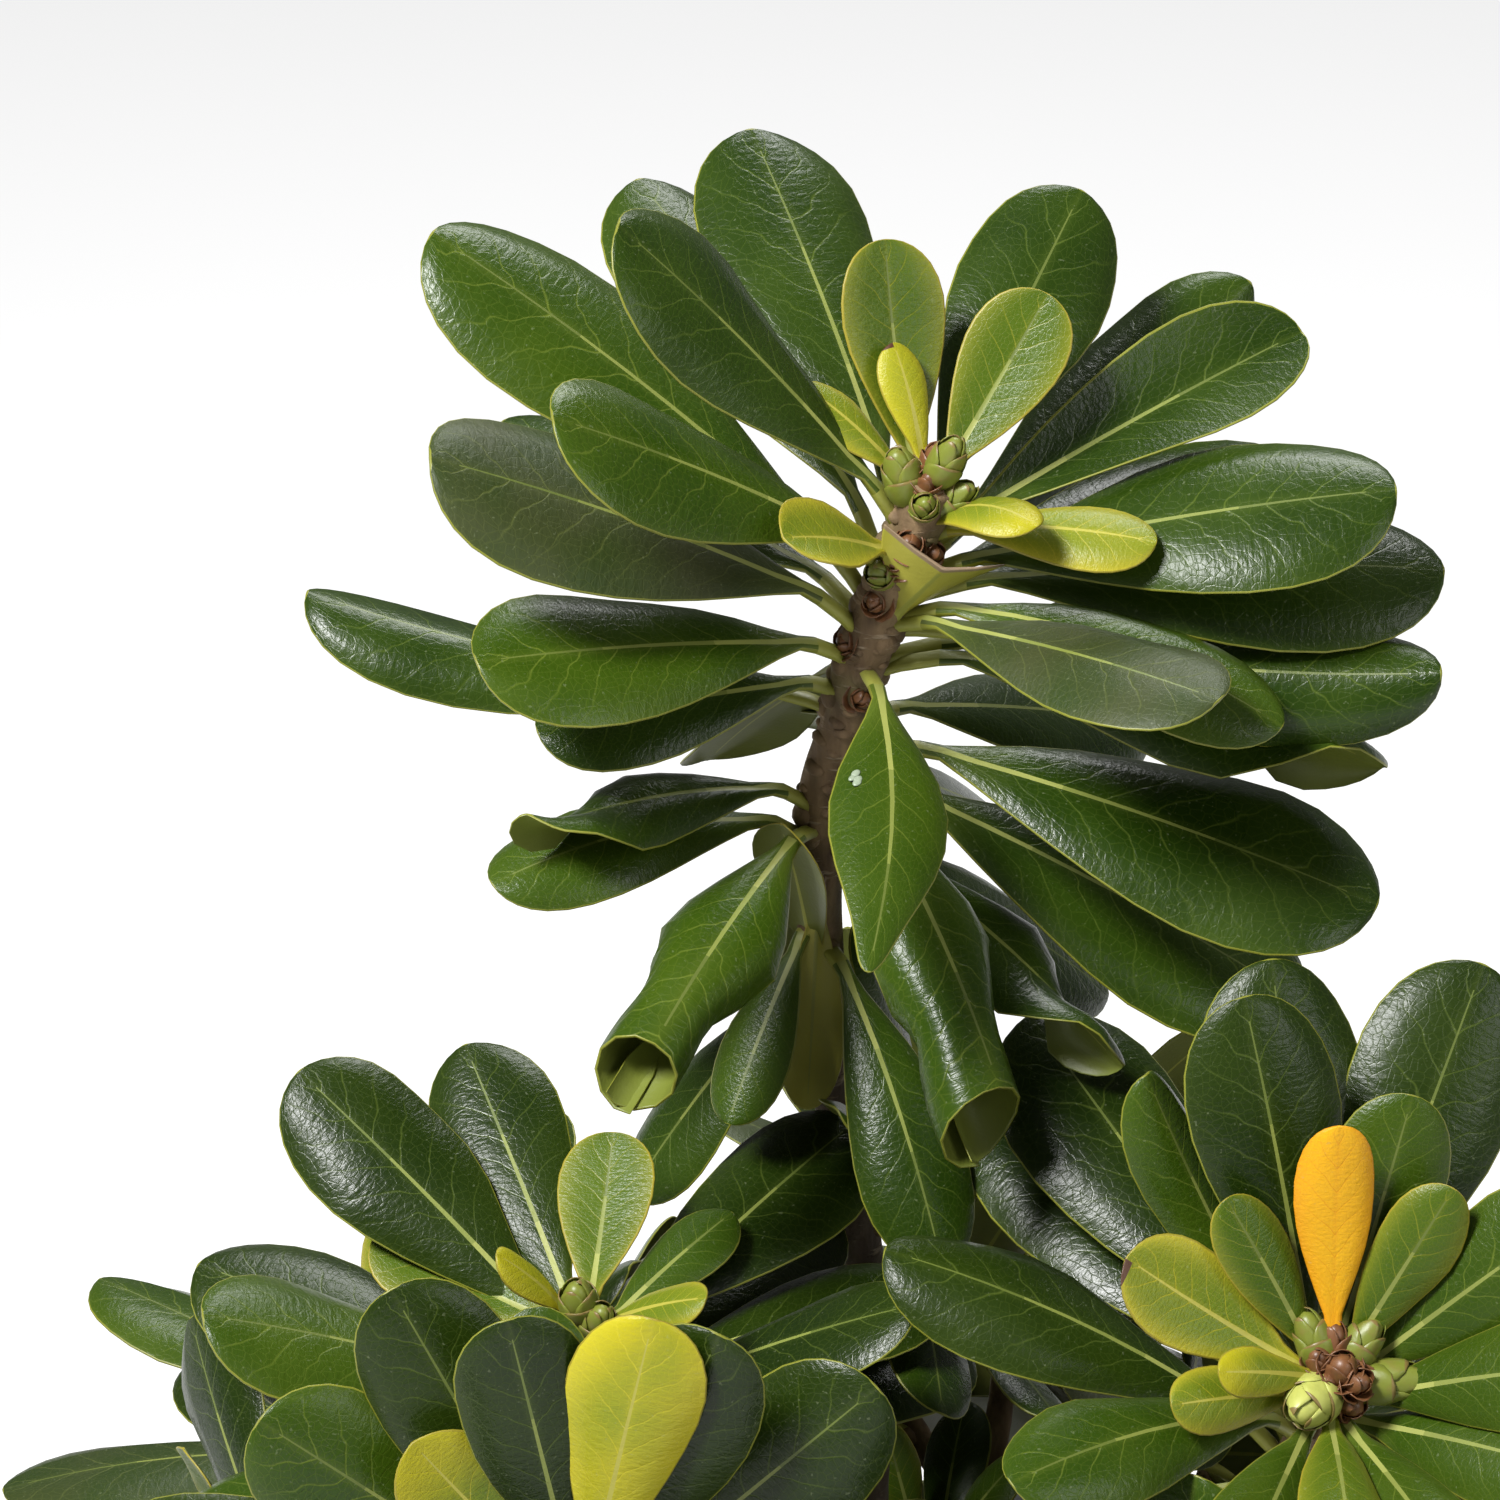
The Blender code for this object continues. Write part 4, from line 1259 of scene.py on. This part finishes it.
def columnPlaces(leaf, share, strips):
    # where the leaf's strips meet at a share of its length: edges, blade halves and rib
    half = halfAt(leaf, share)
    blade = max(0.0, (share - stalkShare) / (1 - stalkShare))
    wide, narrow = leafGrid["ribHalfWidth"]
    ribWidth = wide + (narrow - wide) * min(1.0, blade / leafGrid["ribEnd"])
    edge = 1 - min(leafGrid["edgeMost"], leafGrid["edgeWidth"] / half)
    rib = min(leafGrid["ribMost"], ribWidth / half)
    right = [rib + (edge - rib) * k / strips for k in range(strips + 1)]
    right.append(1.0)
    return [-place for place in reversed(right)] + right, half


def dressed(leaf):
    # the finished leaf: a plain one's end may be rolled into a tube, turned over, narrow or torn
    changed = {**leaf, "stalkHalfWidth": leafGrid["stalkHalfWidth"], "cut": 1.0, "lip": 0.0}
    changed["pitch"] += leaf.get("lay", 0)
    if leaf.get("hood"):
        twist, rise, curl = leaf["hood"]
        changed.update(tipTwist=twist, roll=rise, tipCurl=curl)
        if curl > leafGrid["closed"]:
            changed.update(leafGrid["hood"])
            changed["halfWidth"] *= leafGrid["hoodWidth"]
        else:
            changed["turnShares"] = leafGrid["turnShares"]
    if leaf["tint"] == "greenNarrow":
        changed.update(leafGrid["narrow"])
        changed["halfWidth"] *= leafGrid["narrowWidth"]
    if leaf["tint"] == "torn":
        changed.update(leafGrid["torn"])
        changed["root"] = leaf["root"] - leaf["along"] * leafGrid["tornDrop"]
        changed["length"] *= leafGrid["tornLength"]
        changed["halfWidth"] *= leafGrid["tornWidth"]
    return changed


def leafMeshCorners(plain, corners, strips, draw):
    # where the grid's corners lie on a leaf, and their places on its flat pattern
    grid = leafGrid
    leaf = dressed(plain)
    stations = spine(leaf)
    sag = grid["stalkSag"] * fade(leaf["pitch"], *grid["sagPitches"])
    sag *= min(1.0, leaf["length"] / grid["sagLength"])
    phases = [draw.uniform(*grid["phase"]), draw.uniform(*grid["phase"])]
    ripples = draw.uniform(*grid["ripples"])
    wave = grid["wave"] * draw.uniform(*grid["waveDrift"]) * (0.0 if leaf["lip"] else 1.0)
    rows = []
    uvs = []
    for station in leafShares:
        middleShare = station * leaf["cut"]
        places, half = columnPlaces(leaf, middleShare, strips)
        settle = leaf["along"] * sag * max(0.0, 1 - middleShare / grid["sagEnd"]) ** 2
        stalk = 1 - fade(middleShare, stalkShare, stalkShare + grid["stalkFade"])
        reach = leaf["lip"] * fade(station, grid["lipStart"], 1.0)
        row = []
        uvRow = []
        for column, across in enumerate(places):
            far = abs(across)
            share = middleShare + reach * (1 - math.cos(math.pi * far)) / 2
            point, _, normal = leafPoint(leaf, stations, share, across)
            point -= settle
            isRib = column in (strips + 1, strips + 2)
            swing = math.sin(math.tau * ripples * share + phases[across > 0])
            lift = half * (grid["cushion"] * math.sin(math.pi * far) + wave * far * far * swing)
            lift -= half * grid["edgeFall"] * far**6
            lift -= grid["groove"] * (1 - share) if isRib else 0.0
            below = grid["thick"] * (1 - grid["edgeThin"] * far**4)
            below += grid["keel"] * (1 - share) ** grid["keelFade"] if isRib else 0.0
            bulge = 0.5 * grid["stalkThick"] * math.sqrt(1 - grid["stalkFlat"] * far * far)
            top = lift * (1 - stalk) + bulge * stalk
            bottom = (lift - below) * (1 - stalk) - bulge * stalk
            row.append((point + normal * bottom, point + normal * top))
            uvRow.append((0.5 + 0.5 * across, share))
        rows.append(row)
        uvs.append(uvRow)
    places = [rows[row][column][0 if isBelow else 1] for column, row, isBelow in corners]
    return places, [uvs[row][column] for column, row, _ in corners]


def leafPart(spots, columns):
    # which part of the leaf a face belongs to, from the columns, rows and sides of its corners. A
    # face between two rows lies at a half, and one on the rim of an end at a whole row.
    column = sum(spot[0] for spot in spots) / len(spots)
    row = sum(spot[1] for spot in spots) / len(spots)
    belows = sum(spot[2] for spot in spots)
    share = (leafShares[int(row)] + leafShares[min(int(row + 0.51), len(leafShares) - 1)]) / 2
    isRim = 0 < belows < len(spots)
    isMiddle = abs(column - columns / 2) < 0.3
    isOuter = column < 1 or column > columns - 1
    if share < stalkShare:
        return "stalk", share, column
    if isMiddle and not isRim and share < leafGrid["ribEnd"]:
        stretch = next(name for name, end in leafGrid["ribEnds"].items() if share < end)
        return "stalk" if belows else stretch, share, column
    if isRim or isOuter or share > leafGrid["endStart"]:
        return ("under" if belows == len(spots) else "edge"), share, column
    return ("under" if belows else "blade"), share, column


def leafTemplate(strips):
    # the grid's corners and faces, and the part of the leaf that each face belongs to
    columns = 2 * strips + 3
    corners, faces = shellTemplate(columns, len(leafShares) - 1)
    parts = [leafPart([corners[k] for k in face], columns) for face in faces]
    return strips, corners, faces, parts


# by whether the leaf's tip is rolled or turned over
leafTemplates = {
    False: leafTemplate(leafGrid["strips"]),
    True: leafTemplate(leafGrid["hoodStrips"]),
}


def partFinish(leaf, part, share, column):
    grid = leafGrid
    blade, edge, under, mark = tints[leaf["tint"]]
    under = "hoodInside" if leaf.get("hood") and share > grid["insideStart"] else under
    isTip = share > grid["scorchStart"] and column > grid["scorchSide"]
    if mark == "tip" and part in ("blade", "edge") and isTip:
        return "scorch"
    if mark == "edge" and share > grid["tornStart"]:
        return "tornRim"
    if part in grid["ribEnds"] and blade in ("lemon", "amber", "young", "youngTip"):
        return "amber" if blade == "amber" else "underYellow"
    return {"blade": blade, "edge": edge, "under": under}.get(part, part)


def newPiece(name, corners, faces, materials, uvs=None):
    # one joined mesh, with a finish named for each face
    mesh = bpy.data.meshes.new(name)
    mesh.from_pydata(corners, [], faces)
    used = sorted(set(materials))
    for finish in used:
        mesh.materials.append(finishes[finish])
    place = {finish: k for k, finish in enumerate(used)}
    mesh.polygons.foreach_set("material_index", [place[finish] for finish in materials])
    if uvs:
        layer = mesh.uv_layers.new(name="leafUv")
        layer.data.foreach_set("uv", [part for uv in uvs for part in uv])
    mesh.shade_smooth()
    mesh.update()
    piece = bpy.data.objects.new(name, mesh)
    bpy.context.scene.collection.objects.link(piece)
    return piece


def buildLeaves(name, own, draw):
    corners, faces, materials, uvs = [], [], [], []
    for leaf in own:
        first = len(corners)
        strips, gridCorners, gridFaces, parts = leafTemplates[bool(leaf.get("hood"))]
        places, leafUvs = leafMeshCorners(leaf, gridCorners, strips, draw)
        corners += places
        for face, (part, share, column) in zip(gridFaces, parts):
            faces.append([first + k for k in face])
            materials.append(partFinish(leaf, part, share, column))
            uvs += [leafUvs[k] for k in face]
    piece = newPiece(f"{name}_leaves", corners, faces, materials, uvs)
    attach(piece, "root")
    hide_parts(f"{name}_foliage")


for k, (name, own) in enumerate(leaves.items()):
    buildLeaves(name, own, random.Random(leafGrid["firstSeed"] + k))
print("leaf meshes built")


# Wood: the trunk with the boughs' collars, the boughs, and the twigs with their leaf cushions

relief = {
    "trunk": {"ridge": 0.00028, "lump": 0.00055},
    "bough": {"ridge": 0.00016, "lump": 0.00035},
    "twig": {"ridge": 0.00010, "lump": 0.00034},
    "ridgeScale": (520, 520, 90),
    "lumpScale": 130,
    "trunkVoxel": 0.0010,
    "collarShare": 0.17,
    "collarSwell": 0.75,
    "overlap": 3,  # steps of a bough that lie in its collar too
    "smooth": 0.5,
    "leaderSwell": (1.18, 1.32),
    "stemSwell": 1.05,
}
# Steps along a line (on each stretch of the trunk's and the leader's) and sides round it
tubes = {
    "trunk": (14, 24),
    "bough": (60, 14),
    "leader": (20, 20),
    "stem": (10, 14),
    "twig": (24, 12),
}
tubeSides = {"collar": 16, "sprig": 8}
# The swelling under a leaf's stalk, with its half sizes across, along and out
cushion = {
    "size": (0.0023, 0.0027, 0.0019),
    "out": 0.75,
    "down": 0.0046,
    "leaderRadius": 1.2,
}
# Old leaf scars and bud stumps on the leading shoot
scars = {
    "seed": 61,
    "count": 90,
    "drops": (0.006, 0.080),
    "size": (0.0008, 0.0019),
    "across": 1.3,
    "along": 0.8,
    "out": 1.22,
}


def roughen(made, depth):
    # long ridges and slow lumps along the bark
    made.normal_update()
    moves = []
    for vert in made.verts:
        ridge = noise.noise(Vector(a * b for a, b in zip(vert.co, relief["ridgeScale"])))
        lump = noise.noise(vert.co * relief["lumpScale"])
        moves.append(vert.normal * (ridge * depth["ridge"] + lump * depth["lump"]))
    for vert, move in zip(made.verts, moves):
        vert.co += move


def objectFrom(made, name, finish):
    mesh = bpy.data.meshes.new(name)
    bmesh.ops.recalc_face_normals(made, faces=made.faces)
    made.to_mesh(mesh)
    made.free()
    mesh.materials.append(finishes[finish])
    mesh.shade_smooth()
    piece = bpy.data.objects.new(name, mesh)
    bpy.context.scene.collection.objects.link(piece)
    return piece


def boughLine(plan):
    # a bough's line, its radii, and how many of its points lie in the collar
    bough = arch(*plan["bough"], tubes["bough"][0])
    radii = taper(wood["boughFoot"], wood["boughTip"], len(bough))
    return bough, radii, round(len(bough) * relief["collarShare"])


def buildTrunk():
    # trunk and collars, joined by a remesh and roughened
    made = bmesh.new()
    steps, sides = tubes["trunk"]
    line = smoothLine(trunkPoints, steps)
    radii = [trunkRadius(point.z) for point in line]
    addTube(made, line, radii, sides, firstWay=Vector((0, 0, 1)))
    for plan in plans.values():
        bough, radii, count = boughLine(plan)
        swell = [1 + relief["collarSwell"] * (1 - k / (count - 1)) ** 2 for k in range(count)]
        addTube(made, bough[:count], [r * s for r, s in zip(radii, swell)], tubeSides["collar"])
    piece = objectFrom(made, "trunk_bark", "oldBark")
    remesh = piece.modifiers.new("remesh", "REMESH")
    remesh.mode = "VOXEL"
    remesh.voxel_size = relief["trunkVoxel"]
    evaluated = piece.evaluated_get(bpy.context.evaluated_depsgraph_get())
    mesh = bpy.data.meshes.new_from_object(evaluated)
    piece.modifiers.clear()
    made = bmesh.new()
    made.from_mesh(mesh)
    axes = {"use_axis_x": True, "use_axis_y": True, "use_axis_z": True}
    bmesh.ops.smooth_vert(made, verts=made.verts, factor=relief["smooth"], **axes)
    roughen(made, relief["trunk"])
    for vert in made.verts:
        vert.co.z = max(vert.co.z, 0.0)  # the foot stays flat on the ground
    made.to_mesh(piece.data)
    made.free()
    piece.data.shade_smooth()
    return piece


def buildBoughs():
    made = bmesh.new()
    for plan in plans.values():
        bough, radii, count = boughLine(plan)
        first = count - relief["overlap"]
        addTube(made, bough[first:], radii[first:], tubes["bough"][1], lastWay=plan["stemWay"])
    roughen(made, relief["bough"])
    return objectFrom(made, "bough_bark", "boughBark")


def addBall(made, right, ahead, up, point):
    matrix = placing(right, ahead, up, point)
    bmesh.ops.create_icosphere(made, subdivisions=2, radius=1.0, matrix=matrix)


def addCushion(made, leaf, radius):
    across, along, out = cushion["size"]
    side = leaf["along"].cross(leaf["out"])
    point = leaf["root"] + leaf["out"] * radius * cushion["out"] - leaf["along"] * cushion["down"]
    addBall(made, side * across, leaf["along"] * along, leaf["out"] * out, point)


def addScars(made):
    draw = random.Random(scars["seed"])
    for k in range(scars["count"]):
        point, way = shootFrame(leaderLine, draw.uniform(*scars["drops"]))
        out = outWay(way, crown["goldenTurn"] * k)
        size = draw.uniform(*scars["size"])
        across, along = way.cross(out) * size * scars["across"], way * size * scars["along"]
        addBall(made, across, along, out * size, point + out * wood["leader"] * scars["out"])


def buildTwigs():
    made = bmesh.new()
    steps, sides = tubes["leader"]
    line = smoothLine(leaderPoints, steps)
    footSwell, tipSwell = relief["leaderSwell"]
    radii = taper(wood["leader"] * footSwell, wood["leaderTip"] * tipSwell, len(line))
    addTube(made, line, radii, sides)
    for plan in plans.values():
        steps, sides = tubes["stem"]
        stem = arch(plan["stem"][0], plan["stemWay"], plan["stem"][-1], plan["stemWay"], steps)
        radii = taper(wood["boughTip"], wood["twig"] * relief["stemSwell"], len(stem))
        addTube(made, stem, radii, sides, firstWay=plan["stemWay"])
        steps, sides = tubes["twig"]
        for ends in plan["twigs"]:
            twig = arch(*ends, steps)
            addTube(made, twig, taper(wood["twig"], wood["twigTip"], len(twig)), sides)
    addScars(made)
    for sprig in sprigs:
        thick = sprigForm["radius"] * sprigForm["footSwell"]
        radii = taper(thick, sprigForm["radius"], len(sprig["line"]))
        addTube(made, sprig["line"], radii, tubeSides["sprig"])
    roughen(made, relief["twig"])
    for name, own in leaves.items():
        radius = wood["leader"] * cushion["leaderRadius"] if name == "leader" else wood["twigTip"]
        for leaf in own:
            if not leaf.get("onSprig"):
                addCushion(made, leaf, radius)
    return objectFrom(made, "twigs", "twigBark")


trunk = buildTrunk()
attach(trunk, "root")
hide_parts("trunk")
boughs = buildBoughs()
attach(boughs, "root")
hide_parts(*[f"{name}_bough" for name in plans])
twigs = buildTwigs()
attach(twigs, "root")
print("wood built:", *[len(piece.data.polygons) for piece in (trunk, boughs, twigs)], "faces")


# Buds: scales that overlap like tiles on an egg-shaped core

# Buds that show: distance below the shoot's end in mm, turn round it, tilt from it, length and
# width in mm, finish
shownBuds = {
    ("leader", 0): (
        (0, 30, 6, 12, 5.6, "budGreen"),
        (6, 272, 34, 13, 6.6, "budGreen"),
        (6, 70, 30, 11, 5.0, "budGreen"),
        (5, 350, 46, 8, 4.2, "budGreen"),
        (2, 200, 16, 9, 4.6, "budDry"),
        (3, 330, 20, 7, 4.0, "budDry"),
        (22, 318, 62, 6, 5.0, "budGreen"),
        (15, 60, 70, 5, 3.8, "budDry"),
        (13, 350, 60, 5, 4.2, "budDry"),
        (18, 340, 66, 4, 3.6, "budDry"),
        (28, 330, 74, 4, 3.6, "budDry"),
        (40, 292, 74, 4, 4.0, "budDry"),
        (50, 20, 76, 4, 3.6, "budDry"),
    ),
    ("right_front", 0): (
        (1, 0, 0, 7, 6.0, "budDry"),
        (1, 60, 34, 7, 4.6, "budDry"),
        (2, 130, 30, 6, 4.4, "budDry"),
        (2, 250, 36, 7, 4.8, "budDry"),
        (2, 320, 30, 6, 4.4, "budDry"),
        (3, 222, 56, 13, 6.4, "budGreen"),
        (3, 150, 50, 13, 6.4, "budGreen"),
        (3, 195, 40, 10, 5.4, "budDry"),
        (4, 96, 74, 17, 7.2, "budGreen"),
        (4, 325, 62, 13, 8.6, "budPale"),
        (5, 40, 62, 7, 5.4, "budDry"),
        (6, 8, 70, 6, 5.0, "budDry"),
    ),
}
# Buds of the other shoots: one at the end, and smaller ones at its sides
budRule = {
    "endTilt": (0, 8),
    "endLength": (10, 13),
    "endWidth": 6.4,
    "sideBuds": 3,
    "length": (8, 11),
    "tilt": (30, 56),
    "drop": (3, 6),
    "width": 5.6,
}
budForm = {
    "seed": 77,
    "scales": 7,
    "scaleTurn": (-8, 8),
    "scaleHalf": 78,  # half of the turn that one scale covers
    "scaleNarrow": 0.3,  # how much less of the turn the innermost scale covers
    "scaleShare": 0.62,  # how much of the bud's length one scale covers
    "scaleShort": 0.10,  # how much less of it the outermost scale covers
    "gap": 0.00012,  # from one scale to the next one outwards
    "dryFlare": 0.42,  # dry scales stand off by this share of the width
    "flareDrift": (0.3, 1.2),
    "core": 0.90,
    "coreHalf": 0.47,  # of the length
    "belly": 0.36,  # share of the length where the bud is widest
    "footNarrow": 0.7,
    "sink": 0.8,  # a tilted bud sits this far out from the middle of the twig, in the twig's radii
    "sinkTilt": 40,
}


def ruleBuds(draw):
    tilt, length = draw.uniform(*budRule["endTilt"]), draw.uniform(*budRule["endLength"])
    rows = [(0, 0, tilt, length, budRule["endWidth"], "budGreen")]
    start = draw.uniform(0, 360)
    for k in range(budRule["sideBuds"]):
        turn = start + crown["goldenTurn"] * k
        length, tilt, drop = (draw.uniform(*budRule[name]) for name in ("length", "tilt", "drop"))
        rows.append((drop, turn, tilt, length, budRule["width"], "budGreen"))
    return rows


def budRadius(share):
    # half width of the egg at a share of its length, as a share of the widest
    belly = budForm["belly"]
    if share > belly:
        part = (share - belly) / (1 - belly)
        return math.sqrt(max(0.0, 1 - part * part))
    part = (share - belly) / belly
    return math.sqrt(1 - budForm["footNarrow"] * part * part)


def budFrame(shoot, row):
    # where a bud stands, its way, its length and its width
    drop, turn, tilt, length, width, _ = row
    point, way = shootFrame(shoot["line"], drop / 1000)
    out = outWay(way, turn)
    axis = way * math.cos(math.radians(tilt)) + out * math.sin(math.radians(tilt))
    sink = min(1.0, tilt / budForm["sinkTilt"])
    return point + out * shoot["radius"] * sink * budForm["sink"], axis, length / 1000, width / 1000


scaleCorners, scaleFaces = shellTemplate(scaleGrid["columns"], len(scaleGrid["shares"]) - 1)


def scaleMeshCorners(frameOf, level, turn, flare):
    # one scale wrapped round the bud, from its foot to a rounded tip
    form = budForm
    base, axis, length, width = frameOf
    foot = (1 - form["scaleShare"]) * level
    side = outWay(axis, turn)
    across = side.cross(axis)
    lift = form["gap"] * (1 - level) * form["scales"]
    corners = []
    for column, row, isBelow in scaleCorners:
        v = scaleGrid["shares"][row]
        u = 2 * column / scaleGrid["columns"] - 1
        share = foot + v * form["scaleShare"] * (1 - form["scaleShort"] * (1 - level))
        half = math.radians(form["scaleHalf"]) * math.sqrt(max(0.0, 1 - v**4))
        half *= 1 - form["scaleNarrow"] * level
        reach = width / 2 * budRadius(share) + lift + width * flare * v**3 * (1 - level)
        reach += 0.0 if isBelow else scaleGrid["thick"]
        spot = side * math.cos(u * half) * reach + across * math.sin(u * half) * reach
        corners.append(base + axis * (share * length) + spot)
    return corners


def scaleFinish(face, finish):
    if finish == "budDry":
        return "budBrown"
    row = sum(scaleCorners[k][1] for k in face) / len(face)
    return "budRim" if row > len(scaleGrid["shares"]) - 2 else finish


def addCore(made, frameOf):
    base, axis, length, width = frameOf
    side = axis.orthogonal().normalized() * width / 2 * budForm["core"]
    half = axis * length * budForm["coreHalf"]
    matrix = placing(side, axis.cross(side), half, base + half)
    bmesh.ops.create_uvsphere(made, u_segments=10, v_segments=6, radius=1.0, matrix=matrix)


def buildBuds():
    draw = random.Random(budForm["seed"])
    corners, faces, materials = [], [], []
    cores = {name: bmesh.new() for name in ("budGreen", "budPale", "budBrown")}
    for name, ownShoots in shoots.items():
        for number, shoot in enumerate(ownShoots):
            for row in shownBuds.get((name, number)) or ruleBuds(draw):
                frameOf = budFrame(shoot, row)
                finish = row[-1]
                flare = budForm["dryFlare"] if finish == "budDry" else 0.0
                for k in range(budForm["scales"]):
                    first = len(corners)
                    turn = crown["goldenTurn"] * k + draw.uniform(*budForm["scaleTurn"])
                    level = k / (budForm["scales"] - 1)
                    ownFlare = flare * draw.uniform(*budForm["flareDrift"])
                    corners += scaleMeshCorners(frameOf, level, turn, ownFlare)
                    faces += [[first + corner for corner in face] for face in scaleFaces]
                    materials += [scaleFinish(face, finish) for face in scaleFaces]
                addCore(cores["budBrown" if finish == "budDry" else finish], frameOf)
    piece = newPiece("buds", corners, faces, materials)
    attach(piece, "root")
    for finish, made in cores.items():
        sortFaces(made)
        core = objectFrom(made, f"bud_cores_{finish}", finish)
        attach(core, "root")


buildBuds()
print("buds built")


# A chalky spot on the leaf that hangs in front of the stem

spotForm = {
    "seed": 5,
    "share": 0.44,
    "shareDrift": (-0.016, 0.016),
    "across": -0.62,
    "acrossDrift": (-0.10, 0.10),
    "size": 0.0011,
    "sizeDrift": (0.5, 1.0),
    "slim": 0.7,
    "height": 0.00022,
    "blobs": 5,
}


def buildSpot():
    form = spotForm
    leaf = dressed(next(leaf for leaf in leaves["leader"] if leaf["tint"] == "greenNarrow"))
    draw = random.Random(form["seed"])
    made = bmesh.new()
    for _ in range(form["blobs"]):
        share = form["share"] + draw.uniform(*form["shareDrift"])
        across = form["across"] + draw.uniform(*form["acrossDrift"])
        point, _, normal = leafPoint(leaf, spine(leaf), share, across)
        rise = leafGrid["cushion"] * math.sin(math.pi * abs(across))
        side = normal.orthogonal().normalized() * form["size"] * draw.uniform(*form["sizeDrift"])
        ahead = normal.cross(side) * form["slim"]
        point += normal * halfAt(leaf, share) * rise
        addBall(made, side, ahead, normal * form["height"], point)
    piece = objectFrom(made, "chalky_spot", "chalk")
    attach(piece, "root")


buildSpot()


# Camera, light and floor

view = {
    "elevation": 25,
    "distance": 1.2,
    "wide": 0.2775,  # what the picture covers at the leading bud
    "bud": (0.012, -0.030, 0.585),
    "budRight": 0.0342,  # how far right of the picture's middle that bud is, and how far above it
    "budUp": 0.04995,
    "sensor": 36,
}
lamps = {
    "key": {"place": (-0.8, -0.8, 1.9), "size": 0.45, "power": 64},
    "fill": {"place": (1.5, -1.2, 1.4), "size": 0.8, "power": 9},
    "back": {"place": (0.3, 1.3, 1.9), "size": 0.8, "power": 22},
}
studio = {
    "floorRadius": 8.0,
    "floor": (0.50, 0.50, 0.50),
    "floorRoughness": 0.9,
    "floorGlow": 0.56,
    "world": 0.15,
    "white": (1.0, 1.0, 1.0, 1.0),
}


def addCamera():
    tilt = math.radians(view["elevation"])
    up = Vector((0, math.sin(tilt), math.cos(tilt)))
    ahead = Vector((0, math.cos(tilt), -math.sin(tilt)))
    aim = Vector(view["bud"]) - Vector((view["budRight"], 0, 0)) - up * view["budUp"]
    made = bpy.data.cameras.new("camera")
    made.sensor_width = view["sensor"]
    made.lens = view["sensor"] * view["distance"] / view["wide"]
    camera = bpy.data.objects.new("camera", made)
    camera.location = aim - ahead * view["distance"]
    camera.rotation_euler = (math.pi / 2 - tilt, 0, 0)
    bpy.context.scene.collection.objects.link(camera)
    bpy.context.scene.camera = camera
    return aim


def addLamps(aim):
    for name, lamp in lamps.items():
        made = bpy.data.lights.new(name, "AREA")
        made.size = lamp["size"]
        made.energy = lamp["power"]
        light = bpy.data.objects.new(name, made)
        light.location = lamp["place"]
        light.rotation_euler = (aim - Vector(lamp["place"])).to_track_quat("-Z", "Y").to_euler()
        bpy.context.scene.collection.objects.link(light)


def addFloor():
    made = bmesh.new()
    bmesh.ops.create_circle(made, cap_ends=True, segments=64, radius=studio["floorRadius"])
    finish = Finish("floorPale", studio["floorRoughness"])
    finish.show(studio["floor"])
    finish.shader.inputs["Emission Color"].default_value = studio["white"]
    finish.shader.inputs["Emission Strength"].default_value = studio["floorGlow"]
    finishes["floorPale"] = finish.material
    floor = objectFrom(made, "floor", "floorPale")


aim = addCamera()
addLamps(aim)
addFloor()
world = bpy.data.worlds.new("studio")
world.use_nodes = True
sky = world.node_tree.nodes["Background"]
sky.inputs["Color"].default_value = studio["white"]
sky.inputs["Strength"].default_value = studio["world"]
bpy.context.scene.world = world
bpy.context.scene.view_settings.view_transform = "Standard"
